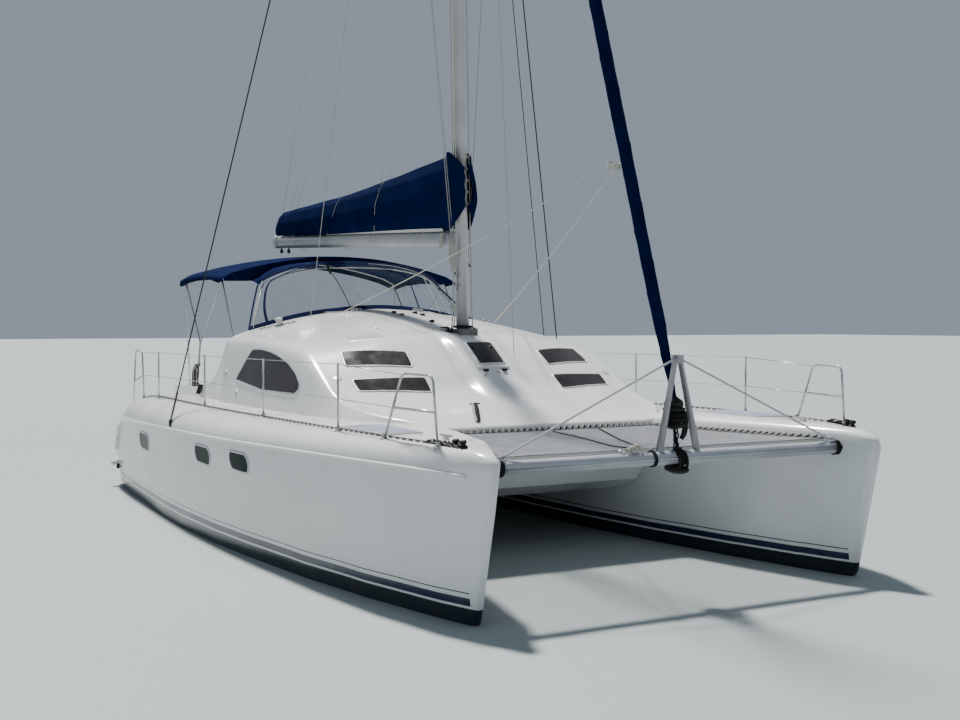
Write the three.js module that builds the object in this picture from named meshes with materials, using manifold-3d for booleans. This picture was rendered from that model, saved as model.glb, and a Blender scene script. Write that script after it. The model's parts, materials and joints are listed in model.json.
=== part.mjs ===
// Sailing catamaran, moored with her sails furled.
// Millimetres. +X towards the bows, +Y to port, +Z up, z = 0 at the waterline, origin amidships.
import * as THREE from 'three';
import { mergeVertices } from 'three/addons/utils/BufferGeometryUtils.js';
import Module from 'manifold-3d';

const wasm = await Module();
wasm.setup();

// Driving dimensions
const TOUCH = 0.3;                // gap between pieces that rest on each other
const HULL_Y = 2268;              // each hull's centreline from the boat's centreline
const STEM_X = 5547;              // stem at the waterline
const STEM_FROM = 4500;           // station where the rake of the stem begins to show
const STEM_RAKE = 0.2116;         // run forward for each millimetre up, at the stem
const TUNNEL_Z = 620;             // underside of the bridge deck above the water
const BRIDGE_TOP = 1520;
const BRIDGE = { aft: -5120, front: 3050, halfWidth: 1440 };
const SOLE_Z = 1000;              // saloon and cockpit floors
const WELL = { aft: -4850, front: -2050, halfWidth: 1250 };
const SALOON = { aft: -1900, front: 1300, halfWidth: 1300 };
const ROOF = { aft: -2050, base: 1440, wall: 45, bulkhead: -2005, cavityFront: 1930 };
const PANE = { recess: 10, thickness: 9 };
const MAST = { x: 950, z: 2572, top: 17000, rake: 0.03, long: 112, wide: 75 };
const GOOSENECK = { x: 760, z: 3770 };
const BOOM = { length: 5290, depth: 190, width: 120, rise: 235, yaw: 6.3 };
const BEAM = { x: 5440, z: 1372, radius: 66, end: 2060 };
const FRAME_APEX = { x: 5425, z: 2350 };
const FURLER = { x: 5370, foot: 1640, top: 1961 };
const CHAINPLATE = { x: -1560, y: 3132, z: 1335, mastZ: 16300 };
const FOIL_ROOT = -300;           // height where keels and sail drives have entered their hulls
const KEEL = { aft: -1750, front: 750, taper: 260, depth: -950, thick: 210 };
const RUDDER = { x: -5000, top: -370, depth: -860, front: 110, aft: 330, thick: 60 };
const STOCK = { radius: 25, top: -255.4 };
const DRIVE = { x: -3380, depth: -830, propX: -3680, propZ: -700, propRadius: 190 };

// Hull sections. x at the waterline; keel line; height and half width of the bilge's upper edge;
// rubbing strake height; half width outboard and inboard; deck height; width of the rounded gunwale.
const HULL_COLUMNS = ['x', 'keel', 'bilgeZ', 'bilge', 'strake', 'outer', 'inner', 'deck', 'round'];
const HULL = [
  [-6030, 250, 330, 555, 440, 590, 590, 560, 110],
  [-5850, 60, 190, 585, 600, 640, 640, 830, 200],
  [-5650, -80, 60, 605, 790, 680, 680, 1060, 250],
  [-5300, -190, 0, 640, 1020, 715, 740, 1325, 290],
  [-4950, -260, 0, 665, 1110, 740, 800, 1460, 330],
  [-4550, -320, 0, 690, 1150, 760, 868, 1515, 360],
  [-4150, -370, 0, 715, 1163, 780, 868, 1540, 380],
  [-3400, -440, 0, 760, 1190, 810, 868, 1550, 390],
  [-2000, -500, 0, 845, 1238, 865, 868, 1555, 400],
  [-1000, -520, 0, 865, 1262, 885, 868, 1560, 400],
  [300, -510, 0, 830, 1285, 860, 868, 1565, 390],
  [1300, -480, 0, 755, 1305, 810, 868, 1570, 370],
  [2850, -380, 0, 590, 1340, 700, 868, 1580, 300],
  [4000, -260, 0, 400, 1358, 570, 640, 1585, 230],
  [4900, -130, 0, 205, 1358, 370, 400, 1580, 170],
  [5250, -72, 0, 122, 1340, 200, 205, 1562, 100],
  [5350, -55, 0, 95, 1335, 150, 150, 1550, 80],
  [5500, -15, 20, 48, 1330, 80, 80, 1500, 55],
  [5547, 45, 70, 24, 1340, 45, 45, 1430, 35],
].map((row) => Object.fromEntries(HULL_COLUMNS.map((name, i) => [name, row[i]])));

// Coachroof sections: half width at the base, side's top, shoulder's end, roof's middle,
// centreline height, and how far the centre ridge stands above it.
const ROOF_COLUMNS = ['x', 'base', 'sideY', 'sideZ', 'edgeY', 'edgeZ', 'midY', 'midZ', 'crown', 'ridge'];
const ROOF_SECTIONS = [
  [-2050, 2320, 2200, 2330, 2000, 2530, 1200, 2790, 2900, 0],
  [-1000, 2320, 2190, 2320, 1990, 2520, 1200, 2740, 2840, 0],
  [0, 2320, 2180, 2270, 1970, 2460, 1150, 2640, 2710, 0],
  [600, 2310, 2170, 2210, 1960, 2390, 1000, 2555, 2590, 10],
  [955, 2300, 2160, 2110, 1970, 2250, 950, 2500, 2520, 35],
  [1236, 2290, 2150, 1985, 1960, 2100, 930, 2332, 2385, 90],
  [1500, 2280, 2140, 1870, 1950, 1950, 930, 2148, 2205, 110],
  [1700, 2270, 2120, 1785, 1930, 1835, 930, 2010, 2070, 105],
  [1930, 2250, 2090, 1715, 1890, 1755, 920, 1848, 1910, 85],
  [2400, 2150, 1990, 1640, 1800, 1665, 900, 1710, 1750, 45],
  [3050, 1560, 1500, 1535, 1400, 1560, 800, 1575, 1580, 0],
].map((row) => Object.fromEntries(ROOF_COLUMNS.map((name, i) => [name, row[i]])));
const RIDGE = { top: 300, foot: 430 };

const SIDES = [['starboard', -1], ['port', 1]];

const COLOURS = {
  gelcoat: [0xf2f2ee, 0.35, 0],
  antifouling: [0x14202c, 0.8, 0],
  glass: [0x2b2b30, 0.1, 0],
  alloy: [0xa9adb0, 0.45, 0.7],
  steel: [0xc6c8ca, 0.25, 0.9],
  canvas: [0x16204a, 0.9, 0],
  mesh: [0x7d8084, 0.9, 0],
  rubber: [0x1d1d1f, 0.7, 0],
  bronze: [0xa98a4a, 0.4, 0.8],
};

const boat = new THREE.Group();

function piece(name, colour, shape) {
  const geometry = shape.isBufferGeometry ? shape : geometryOf(shape);
  const [color, roughness, metalness] = COLOURS[colour];
  const material = new THREE.MeshStandardMaterial({ color, roughness, metalness });
  const mesh = new THREE.Mesh(geometry, material);
  mesh.name = name;
  boat.add(mesh);
  return mesh;
}

// Solids for cutting and joining
function solid(geometry) {
  const bare = geometry.clone();
  bare.deleteAttribute('normal');
  bare.deleteAttribute('uv');
  const merged = mergeVertices(bare, 1e-3);
  const vertProperties = new Float32Array(merged.attributes.position.array);
  const triVerts = new Uint32Array(merged.index.array);
  return new wasm.Manifold(new wasm.Mesh({ numProp: 3, vertProperties, triVerts }));
}

function geometryOf(body) {
  const mesh = body.getMesh();
  const geometry = new THREE.BufferGeometry();
  geometry.setAttribute('position', new THREE.BufferAttribute(new Float32Array(mesh.vertProperties), 3));
  geometry.setIndex(new THREE.BufferAttribute(new Uint32Array(mesh.triVerts), 1));
  return geometry;
}

function join(bodies) {
  return bodies.reduce((all, body) => all.add(body));
}

function cut(body, tools) {
  return tools.reduce((rest, tool) => rest.subtract(tool), body);
}

// A closed skin over rings of points, its ends closed by a fan about each ring's middle.
function loft(rings, band = false) {
  const count = rings[0].length;
  const points = rings.flat();
  const faces = [];
  for (let i = 0; i < rings.length - 1; i += 1) {
    for (let j = 0; j < count; j += 1) {
      const a = i * count + j;
      const b = i * count + (j + 1) % count;
      faces.push(a, b, a + count, b, b + count, a + count);
    }
  }
  for (const [ring, start, flip] of [[rings[0], 0, true], [rings.at(-1), points.length - count, false]]) {
    const cap = band ? bandCap(count, start) : fanCap(ring, start, points);
    for (const [a, b, c] of cap) faces.push(...(flip ? [a, c, b] : [a, b, c]));
  }
  if (faceVolume(points, faces) < 0) faces.reverse();
  const geometry = new THREE.BufferGeometry();
  const positions = points.flatMap((p) => p.toArray());
  geometry.setAttribute('position', new THREE.Float32BufferAttribute(positions, 3));
  geometry.setIndex(faces);
  return geometry;
}

function fanCap(ring, start, points) {
  const middle = new THREE.Vector3();
  ring.forEach((p) => middle.addScaledVector(p, 1 / ring.length));
  points.push(middle);
  const centre = points.length - 1;
  return ring.map((_, j) => [centre, start + j, start + (j + 1) % ring.length]);
}

// The end of a thin band whose ring runs out along one face and back along the other
function bandCap(count, start) {
  const cap = [];
  for (let j = 0; j < count / 2 - 1; j += 1) {
    const [a, b, c, d] = [j, j + 1, count - 2 - j, count - 1 - j].map((i) => start + i);
    cap.push([a, b, d], [b, c, d]);
  }
  return cap;
}

function faceVolume(points, faces) {
  let total = 0;
  for (let i = 0; i < faces.length; i += 3) {
    const [a, b, c] = [points[faces[i]], points[faces[i + 1]], points[faces[i + 2]]];
    total += a.dot(new THREE.Vector3().crossVectors(b, c));
  }
  return total;
}

function at(x, y, z) {
  return new THREE.Vector3(x, y, z);
}

function box(x0, x1, y0, y1, z0, z1) {
  const geometry = new THREE.BoxGeometry(x1 - x0, y1 - y0, z1 - z0);
  return geometry.translate((x0 + x1) / 2, (y0 + y1) / 2, (z0 + z1) / 2);
}

// A round bar between two points; the second radius tapers it.
function rod(from, to, radius, sides = 6, endRadius = radius) {
  const along = new THREE.Vector3().subVectors(to, from);
  const geometry = new THREE.CylinderGeometry(endRadius, radius, along.length(), sides);
  const turn = new THREE.Quaternion().setFromUnitVectors(at(0, 1, 0), along.clone().normalize());
  geometry.applyQuaternion(turn);
  return geometry.translate((from.x + to.x) / 2, (from.y + to.y) / 2, (from.z + to.z) / 2);
}

// A bent bar: one ring square to the bar at each point of its route.
function pipe(points, radius, sides = 6) {
  const heading = (i) => new THREE.Vector3().subVectors(points[i + 1], points[i]).normalize();
  let normal = null;
  const rings = points.map((p, i) => {
    const last = points.length - 1;
    const [back, on] = [heading(Math.max(i - 1, 0)), heading(Math.min(i, last - 1))];
    const along = back.clone().add(on).normalize();
    if (normal === null) normal = Math.abs(along.z) < 0.9 ? at(0, 0, 1) : at(1, 0, 0);
    normal = normal.clone().addScaledVector(along, -normal.dot(along)).normalize();
    const across = new THREE.Vector3().crossVectors(along, normal);
    const stretch = 1 / Math.max(back.dot(along), 0.5);
    return Array.from({ length: sides }, (_, k) => {
      const turn = (2 * Math.PI * k) / sides;
      const out = normal.clone().multiplyScalar(Math.cos(turn) * radius * stretch);
      return p.clone().add(out).addScaledVector(across, Math.sin(turn) * radius);
    });
  });
  return solid(loft(rings));
}

// A flat outline in plan, extruded upwards.
function planPrism(outline, z0, z1) {
  const shape = new THREE.Shape(outline.map(([x, y]) => new THREE.Vector2(x, y)));
  return new THREE.ExtrudeGeometry(shape, { depth: z1 - z0, bevelEnabled: false }).translate(0, 0, z0);
}

// A flat outline seen from the side (x, z), extruded across the boat.
function sidePrism(outline, y0, y1) {
  const shape = new THREE.Shape(outline.map(([x, z]) => new THREE.Vector2(x, z)));
  const geometry = new THREE.ExtrudeGeometry(shape, { depth: y1 - y0, bevelEnabled: false });
  return geometry.rotateX(Math.PI / 2).translate(0, y1, 0);
}

// Outline shrunk towards its middle by a small clearance.
function shrunk(outline, by) {
  const middle = [0, 1].map((k) => outline.reduce((sum, p) => sum + p[k], 0) / outline.length);
  return outline.map((p) => {
    const reach = Math.hypot(p[0] - middle[0], p[1] - middle[1]);
    return [0, 1].map((k) => middle[k] + (p[k] - middle[k]) * (1 - by / reach));
  });
}

// Hulls
const BILGE_STEPS = 8;
const GUNWALE_STEPS = 4;
const DECK_EDGE = 60;
const DECK_CAMBER = 12;

// A station's place at a height: the stem's rake carries it forward above the water.
function raked(x, z) {
  const share = THREE.MathUtils.clamp((x - STEM_FROM) / (STEM_X - STEM_FROM), 0, 1);
  return x + STEM_RAKE * share * Math.max(z, 0);
}

function hullRing(row, side, grow = 0) {
  const ring = [];
  const add = (across, z) => ring.push(at(raked(row.x, z), side * (HULL_Y + across), z));
  for (let i = 0; i <= BILGE_STEPS; i += 1) {
    const turn = Math.PI * (i / BILGE_STEPS - 0.5);
    const drop = (row.bilgeZ - row.keel + grow) * Math.cos(turn) ** 0.8;
    add((row.bilge + grow) * Math.sin(turn), row.bilgeZ - drop);
  }
  const half = (row.strake + row.bilgeZ) / 2;
  add(row.bilge + (row.outer - row.bilge) * 0.6 + grow, half);
  for (let i = 0; i <= GUNWALE_STEPS; i += 1) {
    const turn = (Math.PI / 2) * (i / GUNWALE_STEPS);
    const inset = row.round * (1 - Math.cos(turn));
    add(row.outer + grow - inset, row.strake + (row.deck + grow - row.strake) * Math.sin(turn));
  }
  const edge = Math.min(DECK_EDGE, row.inner * 0.4);
  add(0, row.deck + DECK_CAMBER + grow);
  add(edge - row.inner, row.deck + grow);
  add(-row.inner - grow, row.deck - edge);
  add(-row.inner - grow, row.deck - Math.min(450, (row.deck - row.bilgeZ) * 0.4));
  return ring;
}

function hullSkin(side, grow = 0) {
  return loft(HULL.map((row) => hullRing(row, side, grow)));
}

// Steps from the side deck down to the bathing platform, cut into the stern of each hull.
const STEPS = [
  { from: -4780, to: -5050, z: 1260 },
  { from: -5050, to: -5320, z: 970 },
  { from: -5320, to: -5620, z: 690 },
  { from: -5620, to: -6200, z: 430 },
];
const STEP_INNER = -470;
const STEP_OUTER = 330;

// The two sides of a span across the boat, in rising order
function span(side, near, far) {
  return [side * near, side * far].sort((a, b) => a - b);
}

function stepTools(side) {
  const [y0, y1] = span(side, HULL_Y + STEP_INNER, HULL_Y + STEP_OUTER);
  return STEPS.map(({ from, to, z }) => solid(box(to, from + 1, y0, y1, z, 2000)));
}

const hullTools = SIDES.map(([, side]) => solid(hullSkin(side, TOUCH)));
for (const [name, side] of SIDES) {
  piece(`hull_${name}`, 'gelcoat', cut(solid(hullSkin(side)), stepTools(side)));
}

// Rubbing strakes along the widest line of each hull's outer side
const STRAKE = { aft: -5850, front: 5350 };
const STRAKE_SECTION = [[TOUCH, -24], [20, -18], [30, 0], [20, 18], [TOUCH, 24]];
function strake(side) {
  const rows = HULL.filter((row) => row.x >= STRAKE.aft && row.x <= STRAKE.front);
  return loft(rows.map((row) => STRAKE_SECTION.map(([out, up]) => at(
    raked(row.x, row.strake), side * (HULL_Y + row.outer + out), row.strake + up,
  ))));
}
for (const [name, side] of SIDES) {
  piece(`strake_${name}`, 'gelcoat', cut(solid(strake(side)), hullTools));
}

// Bridge deck with its saloon and cockpit wells and the doorway between them
const DOORWAY = { starboard: -420, port: 220, top: 2470 };
const bridgeOutline = [
  [BRIDGE.aft, BRIDGE_TOP], [BRIDGE.aft, 760], [BRIDGE.aft + 300, TUNNEL_Z], [2300, TUNNEL_Z],
  [2750, 780], [BRIDGE.front, 1080], [BRIDGE.front, BRIDGE_TOP - 60],
  [BRIDGE.front - 120, BRIDGE_TOP],
];
const wells = [
  box(WELL.aft, WELL.front, -WELL.halfWidth, WELL.halfWidth, SOLE_Z, 2000),
  box(SALOON.aft, SALOON.front, -SALOON.halfWidth, SALOON.halfWidth, SOLE_Z, 2000),
  box(WELL.front - 10, SALOON.aft + 10, DOORWAY.starboard, DOORWAY.port, SOLE_Z, 2000),
].map(solid);
const bridgeBlock = solid(sidePrism(bridgeOutline, -BRIDGE.halfWidth, BRIDGE.halfWidth));
const bridge = cut(bridgeBlock, [...hullTools, ...wells]);
piece('bridge_deck', 'gelcoat', bridge);

// Coachroof shell, with its windows, hatch openings and doorway cut through
function roofRing(row, inset = 0) {
  const drop = (y) => row.crown - (row.crown - row.midZ) * (y / row.midY) ** 2;
  const corner = [(row.sideY + row.edgeY) / 2 + 45, (row.sideZ + row.edgeZ) / 2 + 35];
  const half = [
    [row.base - inset, ROOF.base],
    [row.sideY - inset, row.sideZ - inset * 0.4],
    [corner[0] - inset * 0.8, corner[1] - inset * 0.8],
    [row.edgeY - inset * 0.4, row.edgeZ - inset],
    [row.midY, row.midZ - inset],
    [RIDGE.foot, drop(RIDGE.foot) - inset],
    [RIDGE.top, drop(RIDGE.top) + row.ridge - inset],
    [0, row.crown + row.ridge + 8 - inset],
  ];
  const starboard = half.map(([y, z]) => at(row.x, -y, z));
  const port = half.slice(0, -1).reverse().map(([y, z]) => at(row.x, y, z));
  return [...starboard, ...port];
}

function roofSkin(inset, rows = ROOF_SECTIONS) {
  return loft(rows.map((row) => roofRing(row, inset)));
}

function between(x) {
  const next = ROOF_SECTIONS.findIndex((row) => row.x > x);
  const [a, b] = [ROOF_SECTIONS[next - 1], ROOF_SECTIONS[next]];
  const share = (x - a.x) / (b.x - a.x);
  const blend = (name) => a[name] + (b[name] - a[name]) * share;
  return Object.fromEntries(ROOF_COLUMNS.map((name) => [name, blend(name)]));
}

// Height of the roof's skin at a place, for what stands on it
function roofZ(x, y) {
  const row = between(x);
  const ring = roofRing(row).slice(0, 8).map((p) => [-p.y, p.z]);
  const i = ring.findIndex((p) => p[0] <= Math.abs(y));
  const [a, b] = [ring[i - 1], ring[i]];
  return a[1] + ((b[1] - a[1]) * (Math.abs(y) - a[0])) / (b[0] - a[0]);
}

const inner = ROOF_SECTIONS.filter((row) => row.x > ROOF.bulkhead && row.x < ROOF.cavityFront);
const cavityRows = [between(ROOF.bulkhead), ...inner, between(ROOF.cavityFront - 1)];
const cavity = solid(roofSkin(ROOF.wall, cavityRows));
const cavityLow = solid(box(ROOF.bulkhead, ROOF.cavityFront - 60, -2270, 2270, 1400, 1560));

// Windows in the front of the coachroof, as seen in plan: inner and outer corners
const FRONT_WINDOWS = [
  { name: 'upper', corners: [[1236, 947], [955, 1682], [1221, 1732], [1481, 969]] },
  { name: 'lower', corners: [[1685, 904], [1484, 1757], [1683, 1751], [1930 - 20, 917]] },
];
// Side window as seen from the side: a straight foot and a curved upper edge falling forwards
const SIDE_WINDOW = [
  [-1440, 1905], [-960, 2300], [-900, 2322], [-560, 2325], [-240, 2300], [100, 2250],
  [450, 2170], [730, 2060], [890, 1940], [900, 1870], [780, 1808], [-300, 1812],
];
const ROOF_HATCH = { aft: 1335, front: 1747, half: 200 };

const frontPrism = (corners, side, by) => {
  const outline = corners.map(([x, y]) => [x, side * y]);
  return planPrism(shrunk(outline, by), 1600, 2700);
};
const sideWindowPrism = (side, by) => sidePrism(shrunk(SIDE_WINDOW, by), ...span(side, 1900, 2500));
const hatchCorners = [
  [ROOF_HATCH.aft, -ROOF_HATCH.half], [ROOF_HATCH.front, -ROOF_HATCH.half],
  [ROOF_HATCH.front, ROOF_HATCH.half], [ROOF_HATCH.aft, ROOF_HATCH.half],
];
const openings = [
  solid(planPrism(hatchCorners, 1600, 2700)),
  solid(box(ROOF.aft - 10, ROOF.bulkhead + 10, DOORWAY.starboard, DOORWAY.port, 1400, DOORWAY.top)),
];
for (const [, side] of SIDES) {
  for (const { corners } of FRONT_WINDOWS) openings.push(solid(frontPrism(corners, side, 0)));
  openings.push(solid(sideWindowPrism(side, 0)));
}
const bridgeTool = solid(sidePrism(bridgeOutline.map(([x, z]) => [x, z + TOUCH]), -2000, 2000));
const roofOuter = solid(roofSkin(0));
const roofTools = [cavity, cavityLow, bridgeTool, ...hullTools, ...openings];
piece('coachroof', 'gelcoat', cut(roofOuter, roofTools));

// Window panes, each a thin slice of the roof's own skin inside its opening
const glassOuter = solid(roofSkin(PANE.recess));
const glassInner = solid(roofSkin(PANE.recess + PANE.thickness));
const glassSkin = glassOuter.subtract(glassInner);
for (const [name, side] of SIDES) {
  for (const { name: row, corners } of FRONT_WINDOWS) {
    const prism = solid(frontPrism(corners, side, TOUCH));
    piece(`window_${row}_${name}`, 'glass', glassSkin.intersect(prism));
  }
  piece(`window_side_${name}`, 'glass', glassSkin.intersect(solid(sideWindowPrism(side, TOUCH))));
}

// Keels, rudders and sail drives
const FOIL = [
  [0, 0], [0.08, 0.62], [0.3, 1], [0.65, 0.7], [1, 0.06],
  [1, -0.06], [0.65, -0.7], [0.3, -1], [0.08, -0.62],
];

function foilRing(front, aft, thick, z, y) {
  return FOIL.map(([along, out]) => at(front + (aft - front) * along, y + (out * thick) / 2, z));
}

for (const [name, side] of SIDES) {
  const y = side * HULL_Y;
  const tool = [hullTools[side < 0 ? 0 : 1]];
  const keel = loft([
    foilRing(KEEL.front - KEEL.taper, KEEL.aft + KEEL.taper / 2, KEEL.thick * 0.8, KEEL.depth, y),
    foilRing(KEEL.front, KEEL.aft, KEEL.thick, FOIL_ROOT, y),
  ]);
  piece(`keel_${name}`, 'antifouling', cut(solid(keel), tool));

  const [tipFront, tipAft] = [RUDDER.x + RUDDER.front * 0.8, RUDDER.x - RUDDER.aft * 0.75];
  const blade = solid(loft([
    foilRing(tipFront, tipAft, RUDDER.thick * 0.6, RUDDER.depth, y),
    foilRing(RUDDER.x + RUDDER.front, RUDDER.x - RUDDER.aft, RUDDER.thick, RUDDER.top, y),
  ]));
  const stockFoot = at(RUDDER.x, y, RUDDER.top - 60);
  const stock = solid(rod(stockFoot, at(RUDDER.x, y, STOCK.top), STOCK.radius, 12));
  piece(`rudder_${name}`, 'antifouling', blade.add(stock));

  const leg = solid(loft([
    foilRing(DRIVE.x + 80, DRIVE.x - 110, 70, DRIVE.depth, y),
    foilRing(DRIVE.x + 110, DRIVE.x - 110, 80, FOIL_ROOT, y),
  ]));
  const shaft = (x) => at(x, y, DRIVE.propZ);
  const hubFront = DRIVE.propX + 60;
  const pod = solid(rod(shaft(DRIVE.x + 120), shaft(hubFront + TOUCH), 34, 12, 54));
  piece(`sail_drive_${name}`, 'antifouling', cut(leg.add(pod), tool));

  const hub = solid(rod(shaft(hubFront), shaft(DRIVE.propX - 60), 50, 12, 34));
  const blades = [0, 1, 2].map((i) => {
    const flat = new THREE.BoxGeometry(12, 120, DRIVE.propRadius - 20);
    flat.rotateZ(side * 0.6).translate(0, 0, (DRIVE.propRadius + 20) / 2);
    flat.rotateX((i * 2 * Math.PI) / 3).translate(DRIVE.propX, y, DRIVE.propZ);
    return solid(flat);
  });
  piece(`propeller_${name}`, 'bronze', join([hub, ...blades]));
}

// Crossbeam, its A-frame with the bracing wires, and the trampoline
const beamBar = (radius) => {
  const reach = BEAM.end + 100;
  return solid(rod(at(BEAM.x, -reach, BEAM.z), at(BEAM.x, reach, BEAM.z), radius, 16));
};
piece('crossbeam', 'alloy', cut(beamBar(BEAM.radius), hullTools));

const frameFoot = BEAM.z + BEAM.radius + TOUCH;
const A_LEG = { spread: 225, foot: [36, 20], top: [26, 13] };
const aFrame = [-1, 1].map((side) => {
  const section = (x, y, z, [long, wide]) => [[1, 1], [-1, 1], [-1, -1], [1, -1]].map(
    ([a, b]) => at(x + a * long, y + b * wide, z),
  );
  return solid(loft([
    section(BEAM.x, side * A_LEG.spread, frameFoot, A_LEG.foot),
    section(FRAME_APEX.x, side * 22, FRAME_APEX.z, A_LEG.top),
  ]));
});
const BRACE = { inset: 72, radius: 7, lugAft: 35, lugFront: 15, lugHalf: 30, lugHigh: 42 };
const [capAft, capFront] = [FRAME_APEX.x - 40, FRAME_APEX.x + 40];
const apexCap = solid(box(capAft, capFront, -45, 45, FRAME_APEX.z - 70, FRAME_APEX.z + 12));
const braces = [-1, 1].map((side) => {
  const foot = at(BEAM.x - 10, side * (BEAM.end - BRACE.inset), frameFoot + 20);
  return solid(rod(foot, at(FRAME_APEX.x, side * 20, FRAME_APEX.z - 15), BRACE.radius, 5));
});
const lugs = [-1, 1].map((side) => {
  const [y0, y1] = span(side, BEAM.end - BRACE.inset - BRACE.lugHalf, BEAM.end - BRACE.inset + BRACE.lugHalf);
  const [lugX0, lugX1] = [BEAM.x - BRACE.lugAft, BEAM.x + BRACE.lugFront];
  return solid(box(lugX0, lugX1, y0, y1, frameFoot, frameFoot + BRACE.lugHigh));
});
piece('a_frame', 'alloy', join([...aFrame, apexCap, ...braces, ...lugs]));

const NET = { z: 1452, thickness: 8 };
const netFront = BEAM.x - BEAM.radius - TOUCH;
const netBox = box(BRIDGE.front + TOUCH, netFront, -HULL_Y, HULL_Y, NET.z, NET.z + NET.thickness);
piece('trampoline', 'mesh', cut(solid(netBox), [...hullTools, beamBar(BEAM.radius + TOUCH)]));

// Mast, standing on a plate on the coachroof
const mastX = (z) => MAST.x - MAST.rake * (z - MAST.z);
function mastRing(z, grow = 0, scale = 1, sides = 14) {
  return Array.from({ length: sides }, (_, i) => {
    const turn = (2 * Math.PI * (i + 0.5)) / sides;
    const long = (MAST.long * scale + grow) * Math.cos(turn);
    const wide = (MAST.wide * scale + grow) * Math.sin(turn);
    return at(mastX(z) + long, wide, z);
  });
}
const MAST_FOOT = 2600;
const mastPlate = solid(box(MAST.x - 165, MAST.x + 165, -130, 130, 2400, MAST_FOOT));
const roofTool = solid(roofSkin(-TOUCH));
piece('mast_step', 'alloy', mastPlate.subtract(roofTool));
const TAPER_Z = 14500;
piece('mast', 'alloy', loft([
  mastRing(MAST_FOOT + TOUCH), mastRing(TAPER_Z),
  mastRing(MAST.top - 40, 0, 0.8), mastRing(MAST.top, 0, 0.7),
]));
const mastTool = solid(loft([
  mastRing(MAST_FOOT - 200, TOUCH), mastRing(TAPER_Z, TOUCH), mastRing(MAST.top + 200, TOUCH, 0.8),
]));

// Diamond stays over short spreaders, and the swept shrouds down to the chainplates
const DIAMOND = { low: 3050, z: 9300, high: 15800, reach: 560, sweep: 60, wire: 5 };
const mastMiddle = solid(box(-500, 1500, -40, 40, MAST_FOOT, MAST.top));
for (const [name, side] of SIDES) {
  const tip = at(mastX(DIAMOND.z) - DIAMOND.sweep, side * DIAMOND.reach, DIAMOND.z + 30);
  const shape = join([
    solid(rod(at(mastX(DIAMOND.z), 0, DIAMOND.z), tip, 26, 8, 18)),
    solid(rod(at(mastX(DIAMOND.low), side * 60, DIAMOND.low), tip, DIAMOND.wire, 5)),
    solid(rod(at(mastX(DIAMOND.high), side * 50, DIAMOND.high), tip, DIAMOND.wire, 5)),
    solid(new THREE.IcosahedronGeometry(30, 1).translate(tip.x, tip.y, tip.z)),
  ]);
  piece(`spreader_${name}`, 'alloy', cut(shape, [mastTool, mastMiddle]));
}

const SHROUD = { wire: 6, screw: 14, screwLength: 420 };
for (const [name, side] of SIDES) {
  const foot = at(CHAINPLATE.x, side * CHAINPLATE.y, CHAINPLATE.z);
  const head = at(mastX(CHAINPLATE.mastZ), side * 30, CHAINPLATE.mastZ);
  const along = new THREE.Vector3().subVectors(head, foot).normalize();
  const screwTop = foot.clone().addScaledVector(along, SHROUD.screwLength);
  const [y0, y1] = span(side, CHAINPLATE.y - 188, CHAINPLATE.y + 12);
  const parts = [
    solid(box(foot.x - 35, foot.x + 35, y0, y1, foot.z - 50, foot.z + 40)),
    solid(rod(foot, screwTop, SHROUD.screw, 8)),
    solid(rod(foot, head, SHROUD.wire, 5)),
  ];
  piece(`shroud_${name}`, 'steel', cut(join(parts), [hullTools[side < 0 ? 0 : 1], mastTool]));
}

// Furled headsail on its stay, and the furler's drum with its link to the beam
const STAY_SLOPE = 0.3366;
const stayX = (z) => FURLER.x - STAY_SLOPE * (z - FURLER.top);
const GENOA = [
  [FURLER.top + TOUCH, 26], [2250, 46], [2700, 66], [5000, 74],
  [11000, 70], [14600, 48], [15500, 26], [16300, 12],
];
const genoa = loft(GENOA.map(([z, radius]) => Array.from({ length: 10 }, (_, i) => {
  const turn = (2 * Math.PI * i) / 10;
  return at(stayX(z) + radius * Math.cos(turn), radius * Math.sin(turn), z);
})));
piece('genoa_furled', 'canvas', solid(genoa).subtract(mastTool));

const DRUM = [
  [0, 0], [38, 0], [112, 28], [112, 44], [70, 60], [70, 172], [112, 188], [112, 206],
  [34, 240], [26, FURLER.top - FURLER.foot], [0, FURLER.top - FURLER.foot],
];
const turned = (profile, sides) => {
  const outline = profile.map(([radius, z]) => new THREE.Vector2(radius, z));
  return new THREE.LatheGeometry(outline, sides).rotateX(Math.PI / 2);
};
const drum = turned(DRUM, 20).translate(FURLER.x, 0, FURLER.foot);
const link = solid(rod(at(FURLER.x, 0, FURLER.foot + 20), at(BEAM.x - 8, 0, frameFoot + 4), 16, 8));
const linkFoot = solid(box(BEAM.x - 45, BEAM.x + 25, -28, 28, frameFoot, frameFoot + 30));
piece('furler_drum', 'rubber', join([solid(drum), link, linkFoot]));

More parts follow.
